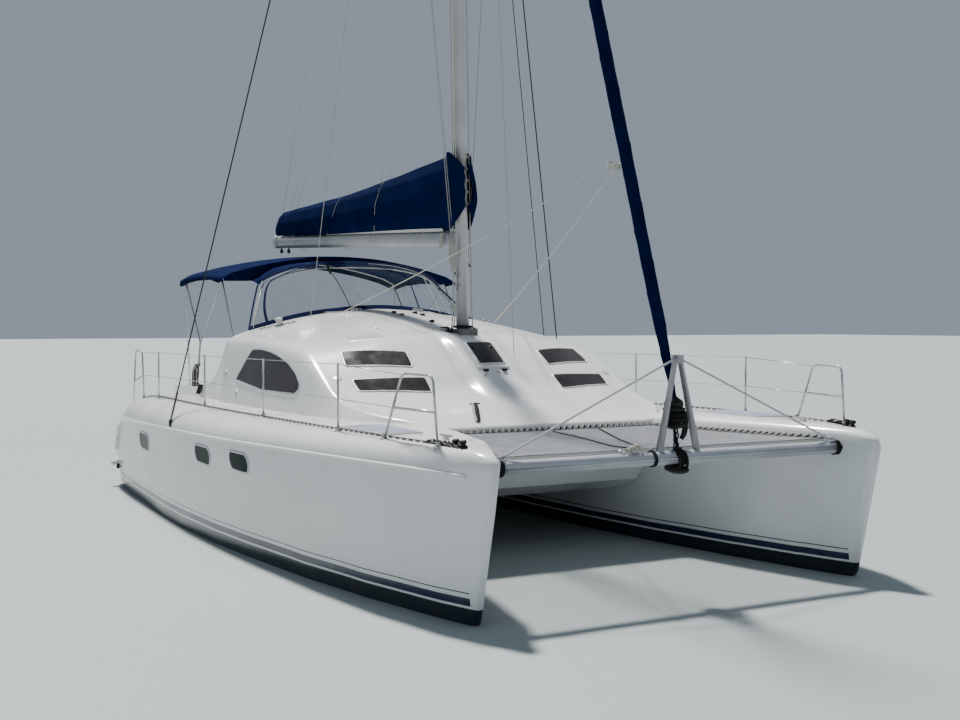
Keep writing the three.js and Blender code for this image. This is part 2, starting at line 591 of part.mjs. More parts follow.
// Boom on its gooseneck, swung a little to starboard as the boat lies
const boomTurn = THREE.MathUtils.degToRad(BOOM.yaw);
const swung = (geometry) => geometry.rotateZ(boomTurn).translate(GOOSENECK.x, 0, 0);
const boomZ = (along) => GOOSENECK.z + (BOOM.rise * along) / BOOM.length;
const BOOM_SECTION = [
  [0.55, 1], [1, 0.55], [1, -0.55], [0.55, -1], [-0.55, -1], [-1, -0.55], [-1, 0.55], [-0.55, 1],
];
function boomRing(along, scale = 1) {
  const [deep, wide] = [(BOOM.depth / 2) * scale, (BOOM.width / 2) * scale];
  return BOOM_SECTION.map(([across, up]) => at(-along, across * wide, boomZ(along) + up * deep));
}
const PIN = { radius: 16, half: 60, lug: 14, reach: 24 };
const boomTube = solid(swung(loft([
  boomRing(70), boomRing(BOOM.length - 40), boomRing(BOOM.length, 0.85),
])));
const tangs = [-1, 1].map((up) => {
  const z = GOOSENECK.z + up * (PIN.half + TOUCH + PIN.lug / 2);
  return solid(swung(box(-90, PIN.reach, -PIN.reach, PIN.reach, z - PIN.lug / 2, z + PIN.lug / 2)));
});
piece('boom', 'alloy', join([boomTube, ...tangs]));
const pinEnd = (up) => at(GOOSENECK.x, 0, GOOSENECK.z + up * PIN.half);
const [toggleAft, toggleFront] = [GOOSENECK.x - 10, GOOSENECK.x + 200];
const toggle = [
  solid(box(toggleAft, toggleFront, -22, 22, GOOSENECK.z - 34, GOOSENECK.z + 34)),
  solid(rod(pinEnd(-1), pinEnd(1), PIN.radius, 12)),
];
piece('gooseneck', 'steel', join(toggle).subtract(mastTool));

// Sail cover along the boom: distance from the gooseneck, height above the boom, half width
const COVER = [
  [150, 985, 95], [700, 900, 135], [1400, 790, 150], [2800, 590, 155],
  [4100, 470, 145], [5060, 380, 115], [5180, 260, 80],
];
const COVER_SECTION = [
  [0.75, 0], [1, 0.22], [0.95, 0.5], [0.6, 0.82], [0, 1],
  [-0.6, 0.82], [-0.95, 0.5], [-1, 0.22], [-0.75, 0],
];
const cover = loft(COVER.map(([along, height, half]) => {
  const z = boomZ(along) + BOOM.depth / 2 + TOUCH;
  return COVER_SECTION.map(([across, up]) => at(-along, across * half, z + up * height));
}));
piece('sail_cover', 'canvas', swung(cover));
const COLLAR = { low: 4010, high: 4930, lowGrow: 48, highGrow: 30 };
const collarOuter = solid(loft([
  mastRing(COLLAR.low, COLLAR.lowGrow, 1, 18), mastRing(COLLAR.high, COLLAR.highGrow, 1, 18),
]));
const collarOpening = solid(box(0, MAST.x - 150, -400, 400, 3900, 5000));
piece('sail_collar', 'canvas', cut(collarOuter, [mastTool, collarOpening]));

// Guard rails: a bow pulpit, posts, wires and a stern hoop on each side
function deckEdge(x) {
  const reach = HULL.map((row) => (
    { x: raked(row.x, row.deck), y: HULL_Y + row.outer - row.round, z: row.deck }
  ));
  const next = reach.findIndex((row) => row.x > x);
  const [a, b] = [reach[next - 1], reach[next]];
  const share = (x - a.x) / (b.x - a.x);
  return { y: a.y + (b.y - a.y) * share, z: a.z + (b.z - a.z) * share };
}
const RAIL = { height: 690, pulpit: 625, mid: 370, post: 12.5, wire: 4, sunk: 30 };
const RAIL_INSET = [[-3500, -35], [-1500, 25], [1000, 25], [3200, -35]];
const RAIL_LOW = 1540;
const POSTS = [-3820, -1330, 1000, 3300];
const PULPIT = { aft: 4280, topAft: 4590, topFront: 5090, front: 5160 };
const STERN = { aft: -5400, topAft: -5240, topFront: -4860, front: -4760 };

function readRows(rows, x) {
  const next = rows.findIndex((row) => row[0] > x);
  if (next < 1) return rows.at(next)[1];
  const [a, b] = [rows[next - 1], rows[next]];
  return a[1] + ((b[1] - a[1]) * (x - a[0])) / (b[0] - a[0]);
}

function guardRail(side) {
  const foot = (x, up) => {
    const { y, z } = deckEdge(x);
    return at(x, side * (y - readRows(RAIL_INSET, x)), z + up);
  };
  const railTop = (x, height = RAIL.height) => {
    const p = foot(x, 0);
    p.z = Math.max(p.z, RAIL_LOW) + height;
    return p;
  };
  const down = (p, by) => at(p.x, p.y, p.z - by);
  const rounded = (a, b, c, by = 60) => {
    const back = new THREE.Vector3().subVectors(a, b).setLength(by).add(b);
    const on = new THREE.Vector3().subVectors(c, b).setLength(by).add(b);
    return [back, b.clone().multiplyScalar(0.4).addScaledVector(back, 0.3).addScaledVector(on, 0.3), on];
  };
  const bars = [];
  const ends = [[PULPIT, RAIL.pulpit], [STERN, RAIL.height]].map(([hoop, height]) => {
    const [a, d] = [foot(hoop.aft, -RAIL.sunk), foot(hoop.front, -RAIL.sunk)];
    const [b, c] = [railTop(hoop.topAft, height), railTop(hoop.topFront, height)];
    const [midAft, midFront] = [a.clone().lerp(b, 0.5), d.clone().lerp(c, 0.5)];
    bars.push(pipe([a, ...rounded(a, b, c), ...rounded(b, c, d), d], RAIL.post, 6));
    bars.push(solid(rod(midAft, midFront, RAIL.post, 6)));
    return { aft: b, front: c, midAft, midFront };
  });
  const [pulpit, stern] = ends;
  for (const x of POSTS) bars.push(solid(rod(foot(x, -RAIL.sunk), railTop(x), RAIL.post, 6)));
  const tops = [stern.front, ...POSTS.map((x) => railTop(x)), pulpit.aft].map((p) => down(p, 14));
  const mids = [stern.midFront, ...POSTS.map((x) => down(railTop(x), RAIL.mid)), pulpit.midAft];
  for (const line of [tops, mids]) {
    for (let i = 1; i < line.length; i += 1) bars.push(solid(rod(line[i - 1], line[i], RAIL.wire, 4)));
  }
  return cut(join(bars), hullTools);
}
for (const [name, side] of SIDES) piece(`guard_rail_${name}`, 'steel', guardRail(side));

// Hinged lids: the hatch on the coachroof's ridge and the lockers in the foredecks
const HATCH = { lap: 24, thick: 24 };
const lidHalf = ROOF_HATCH.half + HATCH.lap;
const lidPrism = solid(box(
  ROOF_HATCH.aft - HATCH.lap, ROOF_HATCH.front + HATCH.lap, -lidHalf, lidHalf, 1900, 2700,
));
const lidSkin = solid(roofSkin(-HATCH.thick)).subtract(roofTool);
piece('roof_hatch_lid', 'glass', lidSkin.intersect(lidPrism));
const LOCKER = { aft: 3120, front: 4150, near: 2130, far: 2580, thick: 22 };
for (const [name, side] of SIDES) {
  const [y0, y1] = span(side, LOCKER.near, LOCKER.far);
  const lid = solid(box(LOCKER.aft, LOCKER.front, y0, y1, 1500, 1590 + LOCKER.thick));
  const lifted = solid(hullSkin(side, LOCKER.thick));
  piece(`locker_lid_${name}`, 'gelcoat', lid.intersect(lifted).subtract(hullTools[side < 0 ? 0 : 1]));
}

// Saloon door on the aft bulkhead
const DOOR = { thick: 34, lap: 20, foot: SOLE_Z + 12, head: DOORWAY.top + 20 };
piece('saloon_door', 'glass', box(
  ROOF.aft - TOUCH - DOOR.thick, ROOF.aft - TOUCH,
  DOORWAY.starboard - DOOR.lap, DOORWAY.port + DOOR.lap, DOOR.foot, DOOR.head,
));

// Cockpit: coamings that carry the roof's line aft, seats, and the helm
const COAMING = [
  [ROOF.aft - 1, 1440], [ROOF.aft - 1, 2440], [-2220, 2400], [-2620, 2030], [-3050, 1760], [-3700, 1690],
  [-5080, 1660], [-5080, 1440],
];
const COAMING_SIDE = { near: 1460, far: 2140, wall: 2000, front: -2000, recess: -3000, ledge: 1600 };
const coamings = [-1, 1].map((side) => {
  const wing = solid(sidePrism(COAMING, ...span(side, COAMING_SIDE.near, COAMING_SIDE.far)));
  const recess = box(
    COAMING_SIDE.recess, COAMING_SIDE.front, ...span(side, COAMING_SIDE.near - 60, COAMING_SIDE.wall),
    COAMING_SIDE.ledge, COAMING_SIDE.ledge + 1000,
  );
  return wing.subtract(solid(recess));
});
const AFT_COAMING = { aft: -5080, front: -4900, half: 1500, foot: 1440, top: 1660 };
const aftCoaming = solid(box(
  AFT_COAMING.aft, AFT_COAMING.front, -AFT_COAMING.half, AFT_COAMING.half, AFT_COAMING.foot, AFT_COAMING.top,
));
const coaming = cut(join([...coamings, aftCoaming]), [...hullTools, bridgeTool]);
piece('cockpit_coaming', 'gelcoat', coaming);
const coamingTool = coaming.translate([0, 0, TOUCH]);

const SEAT = { z: 1430, deep: 480, front: -2950 };
const [seatAft, seatSide, seatFoot] = [WELL.aft + 1, WELL.halfWidth - 1, SOLE_Z + TOUCH];
const seats = [
  box(seatAft, SEAT.front, WELL.halfWidth - SEAT.deep, seatSide, seatFoot, SEAT.z),
  box(seatAft, WELL.aft + SEAT.deep, -seatSide, seatSide - 9, seatFoot, SEAT.z),
].map(solid);
piece('cockpit_seat', 'gelcoat', join(seats));

const HELM = { x: -2620, y: -850, z: 1900, radius: 380, rim: 15, spoke: 8, hub: 40 };
const COLUMN = { aft: 60, front: 330, half: 190, top: 1960 };
const column = box(
  HELM.x + COLUMN.aft, HELM.x + COLUMN.front, HELM.y - COLUMN.half, HELM.y + COLUMN.half,
  SOLE_Z + TOUCH, COLUMN.top,
);
const axle = rod(at(HELM.x + 80, HELM.y, HELM.z), at(HELM.x + 23 + TOUCH, HELM.y, HELM.z), 34, 12);
const pedestal = [column, axle].map(solid);
piece('helm_pedestal', 'gelcoat', join(pedestal));
const rim = solid(new THREE.TorusGeometry(HELM.radius, HELM.rim, 8, 32));
const spokes = [0, 1, 2].map((i) => {
  const bar = box(-HELM.spoke, HELM.spoke, -HELM.radius, HELM.radius, -6, 6);
  return solid(bar.rotateZ((i * Math.PI) / 3));
});
const wheelHub = solid(new THREE.CylinderGeometry(HELM.hub, HELM.hub, 36, 12).rotateX(Math.PI / 2));
const wheel = geometryOf(join([rim, ...spokes, wheelHub])).rotateY(Math.PI / 2);
piece('helm_wheel', 'steel', wheel.translate(HELM.x + 5, HELM.y, HELM.z));

// Bimini: an arched cloth with hanging edges on all four sides
const BIMINI = { aft: -5450, front: -3050, half: 1930, crown: 3715, fall: 324, thick: 28 };
const BIMINI_LIFT = [[BIMINI.aft, 15], [-5300, 40], [-4350, 65], [-3300, 15], [BIMINI.front, 0]];
const EDGE_CLOTH = 12;
const FRONT_EDGE = [
  [0, 3630], [500, 3620], [900, 3572], [1160, 3510], [1300, 3430], [1420, 3340], [1550, 3315], [1930, 3310],
];
const SIDE_EDGE = [
  [BIMINI.aft, 3290], [-5300, 3282], [-4900, 3335], [-4350, 3352], [-3700, 3345], [-3300, 3285],
  [BIMINI.front, 3310],
];
const AFT_EDGE = 95;
const biminiZ = (y, lift) => BIMINI.crown - BIMINI.fall * Math.abs(y / BIMINI.half) ** 1.95 + lift;
const biminiYs = Array.from({ length: 17 }, (_, i) => BIMINI.half * (i / 8 - 1));
const biminiShell = loft(BIMINI_LIFT.map(([x, lift]) => {
  const top = biminiYs.map((y) => at(x, y, biminiZ(y, lift)));
  return [...top, ...[...top].reverse().map((p) => at(p.x, p.y, p.z - BIMINI.thick))];
}), true);
const edgeCloth = (path, across) => solid(loft(path.map(([x, y, high, low]) => {
  const near = at(x, y, high);
  const far = near.clone().add(across);
  return [near, far, at(far.x, far.y, low), at(near.x, near.y, low)];
})));
const frontYs = FRONT_EDGE.flatMap(([y]) => (y ? [-y, y] : [0])).sort((a, b) => a - b);
const hem = (lift) => (y) => biminiZ(y, lift) - BIMINI.thick / 2;
const frontPath = frontYs.map((y) => [BIMINI.front, y, hem(0)(y), readRows(FRONT_EDGE, Math.abs(y))]);
const aftPath = biminiYs.map((y) => [BIMINI.aft, y, hem(15)(y), biminiZ(y, 15) - AFT_EDGE]);
const edges = [edgeCloth(frontPath, at(-EDGE_CLOTH, 0, 0)), edgeCloth(aftPath, at(EDGE_CLOTH, 0, 0))];
for (const [, side] of SIDES) {
  const path = SIDE_EDGE.map(([x, low]) => [
    x, side * BIMINI.half, hem(readRows(BIMINI_LIFT, x))(BIMINI.half), low,
  ]);
  edges.push(edgeCloth(path, at(0, -side * EDGE_CLOTH, 0)));
}
const bimini = join([solid(biminiShell), ...edges]);
piece('bimini_canopy', 'canvas', bimini);

// Two stainless bows that fork from a post on each coaming, and a strut to each end
const BOW = { radius: 13, post: 15, shoulder: 1880, drop: 75 };
const BRACKET = { x: -4300, y: 1980, foot: 1640, pivot: 1712, top: 1732, long: 35, wide: 18 };
const FORK = { x: -4400, y: 1900, z: 2360 };
const BOWS = [-5300, -3300];
const STRUTS = [[-5030, 1900, 1640, BOWS[0]], [-2470, 1900, 2150, BOWS[1]]];
const shoulderAt = (x, side) => (
  at(x, side * BOW.shoulder, biminiZ(BOW.shoulder, readRows(BIMINI_LIFT, x)) - BOW.drop)
);
const bows = BOWS.map((x) => {
  const lift = readRows(BIMINI_LIFT, x);
  const arch = biminiYs.slice(1, -1).map(
    (y) => at(x, y, biminiZ(y, lift) - BIMINI.thick - BOW.radius * 1.15 - TOUCH),
  );
  const [low, high] = [-1, 1].map((side) => [at(FORK.x, side * FORK.y, FORK.z), shoulderAt(x, side)]);
  return pipe([...low, ...arch, ...high.reverse()], BOW.radius, 6);
});
const legs = [-1, 1].flatMap((side) => {
  const { x, y, z } = at(BRACKET.x, side * BRACKET.y, BRACKET.pivot);
  const struts = STRUTS.map(([footX, footY, footZ, bow]) => (
    solid(rod(at(footX, side * footY, footZ), shoulderAt(bow, side), BOW.radius, 6))
  ));
  return [
    solid(box(
      x - BRACKET.long, x + BRACKET.long, y - BRACKET.wide, y + BRACKET.wide, BRACKET.foot, BRACKET.top,
    )),
    solid(rod(at(x, y, z), at(FORK.x - 4, side * FORK.y, FORK.z + 26), BOW.post, 6)),
    ...struts,
  ];
});
const biminiTool = bimini.translate([0, 0, -TOUCH]);
piece('bimini_frame', 'steel', cut(join([...bows, ...legs]), [coamingTool, biminiTool]));

// Dodger half outline: foot across and along, top across, along and height
const DODGER = [
  [0, -1600, 0, -2400, 3600], [450, -1620, 400, -2420, 3592], [900, -1670, 780, -2460, 3560],
  [1270, -1750, 1080, -2520, 3495], [1550, -1850, 1300, -2590, 3410], [1750, -1950, 1430, -2670, 3330],
  [1880, -2030, 1500, -2750, 3250],
];
const DODGER_WALL = 9;
const DODGER_ROOF = { aft: BIMINI.front - EDGE_CLOTH, thick: 18, spread: 1.02 };
const dodgerRows = [-1, 1].flatMap((side) => {
  const rows = DODGER.map(([footY, footX, topY, topX, topZ]) => ({
    foot: at(footX, side * footY, roofZ(footX, side * footY) - 15), top: at(topX, side * topY, topZ),
  }));
  return side < 0 ? rows.reverse() : rows.slice(1);
});
const dodgerRings = dodgerRows.map(({ foot, top }) => {
  const inside = (p) => at(p.x - DODGER_WALL, p.y, p.z);
  return [foot, inside(foot), inside(top), top];
});
piece('dodger_window', 'glass', solid(loft(dodgerRings)).subtract(roofTool));
const canopyRings = dodgerRows.map(({ top }) => {
  const front = at(top.x, top.y, top.z + TOUCH);
  const y = top.y * DODGER_ROOF.spread;
  const back = at(DODGER_ROOF.aft, y, readRows(FRONT_EDGE, Math.abs(y)) - DODGER_ROOF.thick - TOUCH);
  const upper = (p) => at(p.x, p.y, p.z + DODGER_ROOF.thick);
  return [front, upper(front), upper(back), back];
});
piece('dodger_canopy', 'canvas', solid(loft(canopyRings)).subtract(biminiTool));

// Winches on the coamings and mooring cleats on the foredecks
const WINCH = [[0, 0], [62, 0], [62, 22], [40, 34], [44, 95], [58, 108], [58, 128], [24, 138], [0, 138]];
const WINCH_AT = { x: -3900, y: 1780, z: 1676 };
const CLEAT = { x: 4800, across: -60, long: 110, foot: 36, root: 1560, top: 1640, bar: 22 };
for (const [name, side] of SIDES) {
  const winch = turned(WINCH, 16).translate(WINCH_AT.x, side * WINCH_AT.y, WINCH_AT.z);
  piece(`winch_${name}`, 'steel', solid(winch).subtract(coamingTool));
  const y = side * (HULL_Y + CLEAT.across);
  const [aft, front] = [CLEAT.x - CLEAT.long, CLEAT.x + CLEAT.long];
  const cleat = [
    box(CLEAT.x - CLEAT.foot, CLEAT.x + CLEAT.foot, y - 18, y + 18, CLEAT.root, CLEAT.top),
    box(aft, front, y - 13, y + 13, CLEAT.top - CLEAT.bar, CLEAT.top),
  ].map(solid);
  piece(`bow_cleat_${name}`, 'steel', cut(join(cleat), hullTools));
}

export default boat;
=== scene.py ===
"""Cruising catamaran afloat with its sails furled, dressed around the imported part.

Metres. +X towards the bows, +Y to port, +Z up, z = 0 at the waterline.
"""

import json
import math

import bmesh
import bpy
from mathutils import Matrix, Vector
from mathutils.bvhtree import BVHTree


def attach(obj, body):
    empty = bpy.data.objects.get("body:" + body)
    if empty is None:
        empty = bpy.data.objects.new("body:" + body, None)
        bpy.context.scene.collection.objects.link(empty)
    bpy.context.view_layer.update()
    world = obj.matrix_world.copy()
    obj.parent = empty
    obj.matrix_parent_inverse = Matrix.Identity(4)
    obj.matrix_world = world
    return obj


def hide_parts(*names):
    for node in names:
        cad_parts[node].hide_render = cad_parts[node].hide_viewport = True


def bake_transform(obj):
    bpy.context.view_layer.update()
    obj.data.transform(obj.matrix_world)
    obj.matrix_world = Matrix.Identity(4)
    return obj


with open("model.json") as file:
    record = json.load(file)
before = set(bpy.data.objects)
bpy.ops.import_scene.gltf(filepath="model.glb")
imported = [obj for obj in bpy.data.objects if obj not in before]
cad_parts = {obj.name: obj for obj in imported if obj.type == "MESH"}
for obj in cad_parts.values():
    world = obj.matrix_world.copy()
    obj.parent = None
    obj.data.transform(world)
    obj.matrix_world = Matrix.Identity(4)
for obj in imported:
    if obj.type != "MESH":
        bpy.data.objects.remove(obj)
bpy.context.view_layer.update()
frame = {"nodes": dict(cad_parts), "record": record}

# Places and sizes that several pieces share
SIDES = (("starboard", -1), ("port", 1))
BRIDGE_FRONT = 3.05
NET_Z = 1.456
BOOM_YAW = math.radians(6.3)
BOOM_RISE = 0.235 / 5.29
BOOM_HALF_DEPTH = 0.095
GOOSENECK = Vector((0.76, 0, 3.77))
MAST_RAKE = 0.03
MAST_FOOT = Vector((0.95, 0, 2.572))
FURLER = Vector((5.37, 0, 1.961))
STAY_SLOPE = 0.3366
DOWN = (0, 0, -1)
UP = (0, 0, 1)
OVERHEAD = 6
OUTBOARD = 5


# Camera, floor and light

CAMERA_SPOT = (15.122, -7.477, 2.679)
CAMERA_DIP = 1.7125
CAMERA_HEADING = 151.392
CAMERA_LENS = 46.66
FLOOR_SIZE = 400
SKY_COLOUR = (0.70, 0.82, 0.98, 1)
SKY_STRENGTH = 0.38
SUNLIGHT = Vector((0.45, -0.03, -0.88))
SUN_COLOUR = (1.0, 0.97, 0.93)
SUN_STRENGTH = 7.2
SUN_WIDTH = math.radians(5)


def set_camera():
    bpy.ops.object.camera_add(
        location=CAMERA_SPOT,
        rotation=(math.radians(90 - CAMERA_DIP), 0, math.radians(CAMERA_HEADING - 90)),
    )
    camera = bpy.context.object
    camera.name = "photo_camera"
    camera.data.sensor_width = 36
    camera.data.lens = CAMERA_LENS
    camera.data.clip_end = 600
    bpy.context.scene.camera = camera


def set_stage():
    bpy.ops.mesh.primitive_plane_add(size=FLOOR_SIZE, location=(0, 0, 0))
    floor = bpy.context.object
    floor.name = "studio_floor"
    material, shader = new_material("studio_floor", (0.34, 0.385, 0.385), 0.6)
    colour_patches(material, shader, 0.05, (0.33, 0.375, 0.375), (0.35, 0.395, 0.395), 0.3, 0.7)
    floor.data.materials.append(material)
    world = bpy.data.worlds.new("studio")
    world.use_nodes = True
    sky = world.node_tree.nodes["Background"]
    set_inputs(sky, {"Color": SKY_COLOUR, "Strength": SKY_STRENGTH})
    bpy.context.scene.world = world
    bpy.ops.object.light_add(type="SUN")
    sun = bpy.context.object
    sun.rotation_euler = SUNLIGHT.to_track_quat("-Z", "Y").to_euler()
    sun.data.energy = SUN_STRENGTH
    sun.data.angle = SUN_WIDTH
    sun.data.color = SUN_COLOUR


# Ways of making a material

def set_inputs(node, inputs):
    for name, value in inputs.items():
        node.inputs[name.replace("_", " ")].default_value = value


def new_material(name, colour, roughness, metallic=0.0, **more):
    material = bpy.data.materials.new(name)
    material.use_nodes = True
    shader = material.node_tree.nodes["Principled BSDF"]
    set_inputs(shader, {"Base Color": (*colour, 1), "Roughness": roughness, "Metallic": metallic, **more})
    return material, shader


def add_node(material, kind, settings=(), **inputs):
    made = material.node_tree.nodes.new(kind)
    for key, value in settings:
        setattr(made, key, value)
    set_inputs(made, inputs)
    return made


def link(material, start, end):
    material.node_tree.links.new(start, end)


def place(material, scale=(1, 1, 1), source="Object"):
    """The piece's own coordinates, stretched for a pattern."""
    coordinates = add_node(material, "ShaderNodeTexCoord")
    mapping = add_node(material, "ShaderNodeMapping", Scale=scale)
    link(material, coordinates.outputs[source], mapping.inputs["Vector"])
    return mapping.outputs["Vector"]


def noise(material, scale, detail=3.0, stretch=(1, 1, 1)):
    texture = add_node(material, "ShaderNodeTexNoise", Scale=scale, Detail=detail)
    link(material, place(material, stretch), texture.inputs["Vector"])
    return texture.outputs["Fac"]


def wave(material, direction, vector, **inputs):
    texture = add_node(material, "ShaderNodeTexWave", [("bands_direction", direction)], **inputs)
    link(material, vector, texture.inputs["Vector"])
    return texture.outputs["Fac"]


def ramp(material, factor, stops, sharp=False):
    made = add_node(material, "ShaderNodeValToRGB")
    made.color_ramp.interpolation = "CONSTANT" if sharp else "LINEAR"
    elements = made.color_ramp.elements
    while len(elements) < len(stops):
        elements.new(0.5)
    for element, (position, colour) in zip(elements, stops):
        element.position = position
        element.color = (*colour, 1)
    link(material, factor, made.inputs["Fac"])
    return made.outputs["Color"]


def grey(value):
    return (value, value, value)


def feed(material, socket, value):
    """Links an output to a socket, or sets a number or a colour there."""
    if isinstance(value, (int, float)):
        socket.default_value = value
    elif isinstance(value, tuple):
        socket.default_value = (*value, 1)
    else:
        link(material, value, socket)


def math_node(material, operation, first, second):
    made = add_node(material, "ShaderNodeMath", [("operation", operation)])
    for socket, value in zip(made.inputs, (first, second)):
        feed(material, socket, value)
    return made.outputs["Value"]


def mix_colour(material, factor, first, second, blend="MIX"):
    made = add_node(
        material, "ShaderNodeMix", [("data_type", "RGBA"), ("blend_type", blend)]
    )
    # A colour mix takes its factor at 0 and its colours at 6 and 7, and gives colour at 2
    for index, value in ((0, factor), (6, first), (7, second)):
        feed(material, made.inputs[index], value)
    return made.outputs[2]


def colour_patches(material, shader, scale, low, high, start=0.3, end=0.75):
    colour = ramp(material, noise(material, scale), ((start, low), (end, high)))
    link(material, colour, shader.inputs["Base Color"])


def roughness_patches(material, shader, scale, low, high, stretch=(1, 1, 1)):
    value = ramp(material, noise(material, scale, stretch=stretch), ((0.3, grey(low)), (0.7, grey(high))))
    link(material, value, shader.inputs["Roughness"])


def bump(material, shader, height, strength, distance):
    made = add_node(material, "ShaderNodeBump", Strength=strength, Distance=distance)
    link(material, height, made.inputs["Height"])
    below = shader.inputs["Normal"]
    if below.is_linked:
        link(material, below.links[0].from_socket, made.inputs["Normal"])
    link(material, made.outputs["Normal"], below)


def grain(material, shader, scale, detail, strength, distance, stretch=(1, 1, 1)):
    """Relief from noise: small waves, pores or drawing lines."""
    bump(material, shader, noise(material, scale, detail, stretch), strength, distance)


def own_place(material):
    """How far forward a point of the piece lies, and how high above the water."""
    coordinates = add_node(material, "ShaderNodeTexCoord")
    parts = add_node(material, "ShaderNodeSeparateXYZ")
    link(material, coordinates.outputs["Object"], parts.inputs["Vector"])
    return parts.outputs["X"], parts.outputs["Z"]


def upward_faces(material):
    """1 on level decks, 0 on sides."""
    geometry = add_node(material, "ShaderNodeNewGeometry")
    parts = add_node(material, "ShaderNodeSeparateXYZ")
    link(material, geometry.outputs["Normal"], parts.inputs["Vector"])
    made = add_node(material, "ShaderNodeMapRange", From_Min=0.93, From_Max=0.985)
    link(material, parts.outputs["Z"], made.inputs["Value"])
    return made.outputs["Result"]


# Paints and gelcoat

NAVY_PAINT = (0.006, 0.012, 0.055)
ANTIFOULING = (0.004, 0.012, 0.02)
GELCOAT = (0.80, 0.815, 0.80)
BOTTOM_TOP = 0.15
BAND = (0.172, 0.246)
THIN_LINE = (0.2815, 0.2965)
BANDS_FRONT = 5.51
SWEEP_FRONT = -4.6
SWEEP_RISE = 0.05


def gelcoat_finish(material, shader, colour):
    """Glossy, with dull patches, faint rain marks and the slow waves of a moulding."""
    set_inputs(shader, {"Coat Weight": 0.35, "Coat Roughness": 0.06})
    roughness_patches(material, shader, 1.4, 0.16, 0.3)
    marks = noise(material, 2.2, 5, (1, 1, 0.35))
    weathered = ramp(material, marks, ((0.42, grey(1.0)), (0.72, grey(0.93))))
    link(material, mix_colour(material, 1.0, colour, weathered, "MULTIPLY"), shader.inputs["Base Color"])
    grain(material, shader, 0.9, 1, 0.12, 0.03)


def gripped_gelcoat(material, shader, colour, share, worn, strength):
    """Gelcoat with a fine grip pattern where it lies level."""
    grip = upward_faces(material)
    colour = mix_colour(material, math_node(material, "MULTIPLY", grip, share), colour, worn)
    gelcoat_finish(material, shader, colour)
    speckle = math_node(material, "MULTIPLY", noise(material, 260, 2), grip)
    bump(material, shader, speckle, strength, 0.002)


def hull_paint():
    """White topsides, a navy band with a thin line above it, and dark bottom paint."""
    material, shader = new_material("hull_paint", GELCOAT, 0.2)
    x, z = own_place(material)
    aft = math_node(material, "MAXIMUM", math_node(material, "SUBTRACT", SWEEP_FRONT, x), 0.0)
    sweep = math_node(material, "MULTIPLY", math_node(material, "POWER", aft, 2.0), SWEEP_RISE)
    level = math_node(material, "SUBTRACT", z, sweep)
    bottom = ((0.0, ANTIFOULING), (BOTTOM_TOP, GELCOAT))
    bands = ramp(material, level, (
        *bottom, (BAND[0], NAVY_PAINT), (BAND[1], GELCOAT),
        (THIN_LINE[0], NAVY_PAINT), (THIN_LINE[1], GELCOAT),
    ), sharp=True)
    bow = math_node(material, "GREATER_THAN", x, BANDS_FRONT)
    colour = mix_colour(material, bow, bands, ramp(material, level, bottom, sharp=True))
    gripped_gelcoat(material, shader, colour, 0.5, (0.72, 0.73, 0.72), 0.25)
    return material


def deck_gelcoat():
    material, shader = new_material("deck_gelcoat", GELCOAT, 0.2)
    gripped_gelcoat(material, shader, GELCOAT, 0.4, (0.75, 0.76, 0.75), 0.2)
    return material


def smooth_gelcoat():
    material, shader = new_material("smooth_gelcoat", GELCOAT, 0.2)
    gelcoat_finish(material, shader, GELCOAT)
    return material


def bottom_paint():
    material, shader = new_material("bottom_paint", ANTIFOULING, 0.75)
    colour_patches(material, shader, 6, (0.003, 0.01, 0.016), (0.01, 0.022, 0.03))
    grain(material, shader, 120, 3, 0.25, 0.002)
    return material


# Glass and clear sheet

def smoked_acrylic():
    """Dark window sheet with a soft sky sheen and faint scratches."""
    material, shader = new_material("smoked_acrylic", (0.02, 0.017, 0.017), 0.12, Specular_IOR_Level=0.28)
    colour_patches(material, shader, 1.6, (0.012, 0.010, 0.010), (0.042, 0.035, 0.036), 0.3, 0.8)
    roughness_patches(material, shader, 5, 0.12, 0.26)
    grain(material, shader, 3, 1, 0.05, 0.02)
    return material


def hull_light_glass():
    """Dark green-black acrylic of the small hull lights."""
    material, shader = new_material(
        "hull_light_glass", (0.003, 0.012, 0.010), 0.12, IOR=1.15, Specular_IOR_Level=0.2
    )
    colour_patches(material, shader, 3, (0.002, 0.009, 0.008), (0.006, 0.022, 0.019), 0.3, 0.8)
    roughness_patches(material, shader, 6, 0.05, 0.16)
    return material


def clear_vinyl():
    """Soft see-through sheet with slow ripples and some clouding."""
    material, shader = new_material(
        "clear_vinyl", (0.09, 0.12, 0.13), 0.10, IOR=1.25, Specular_IOR_Level=0.3
    )
    clouding = ramp(material, noise(material, 4, 4), ((0.3, grey(0.05)), (0.8, grey(0.13))))
    link(material, clouding, shader.inputs["Alpha"])
    roughness_patches(material, shader, 9, 0.06, 0.2)
    grain(material, shader, 5, 2, 0.5, 0.02, (1, 1, 0.4))
    return material


def roof_lid_grey():
    """Pale grey sheet of the flush roof hatch, crazed by the sun."""
    material, shader = new_material(
        "roof_lid_grey", (0.46, 0.47, 0.53), 0.8, IOR=1.1, Specular_IOR_Level=0.2
    )
    colour_patches(material, shader, 7, (0.42, 0.43, 0.49), (0.50, 0.51, 0.57))
    grain(material, shader, 160, 3, 0.15, 0.001)
    return material


# Metals and plastic

def anodised_alloy():
    """Satin spar with faint drawing lines along its height and dull patches."""
    material, shader = new_material("anodised_alloy", (0.42, 0.43, 0.45), 0.48, 0.35)
    colour_patches(material, shader, 2.5, (0.36, 0.37, 0.39), (0.44, 0.45, 0.47), 0.35, 0.7)
    roughness_patches(material, shader, 30, 0.34, 0.5, (1, 1, 0.03))
    grain(material, shader, 400, 2, 0.08, 0.001, (1, 1, 0.02))
    return material


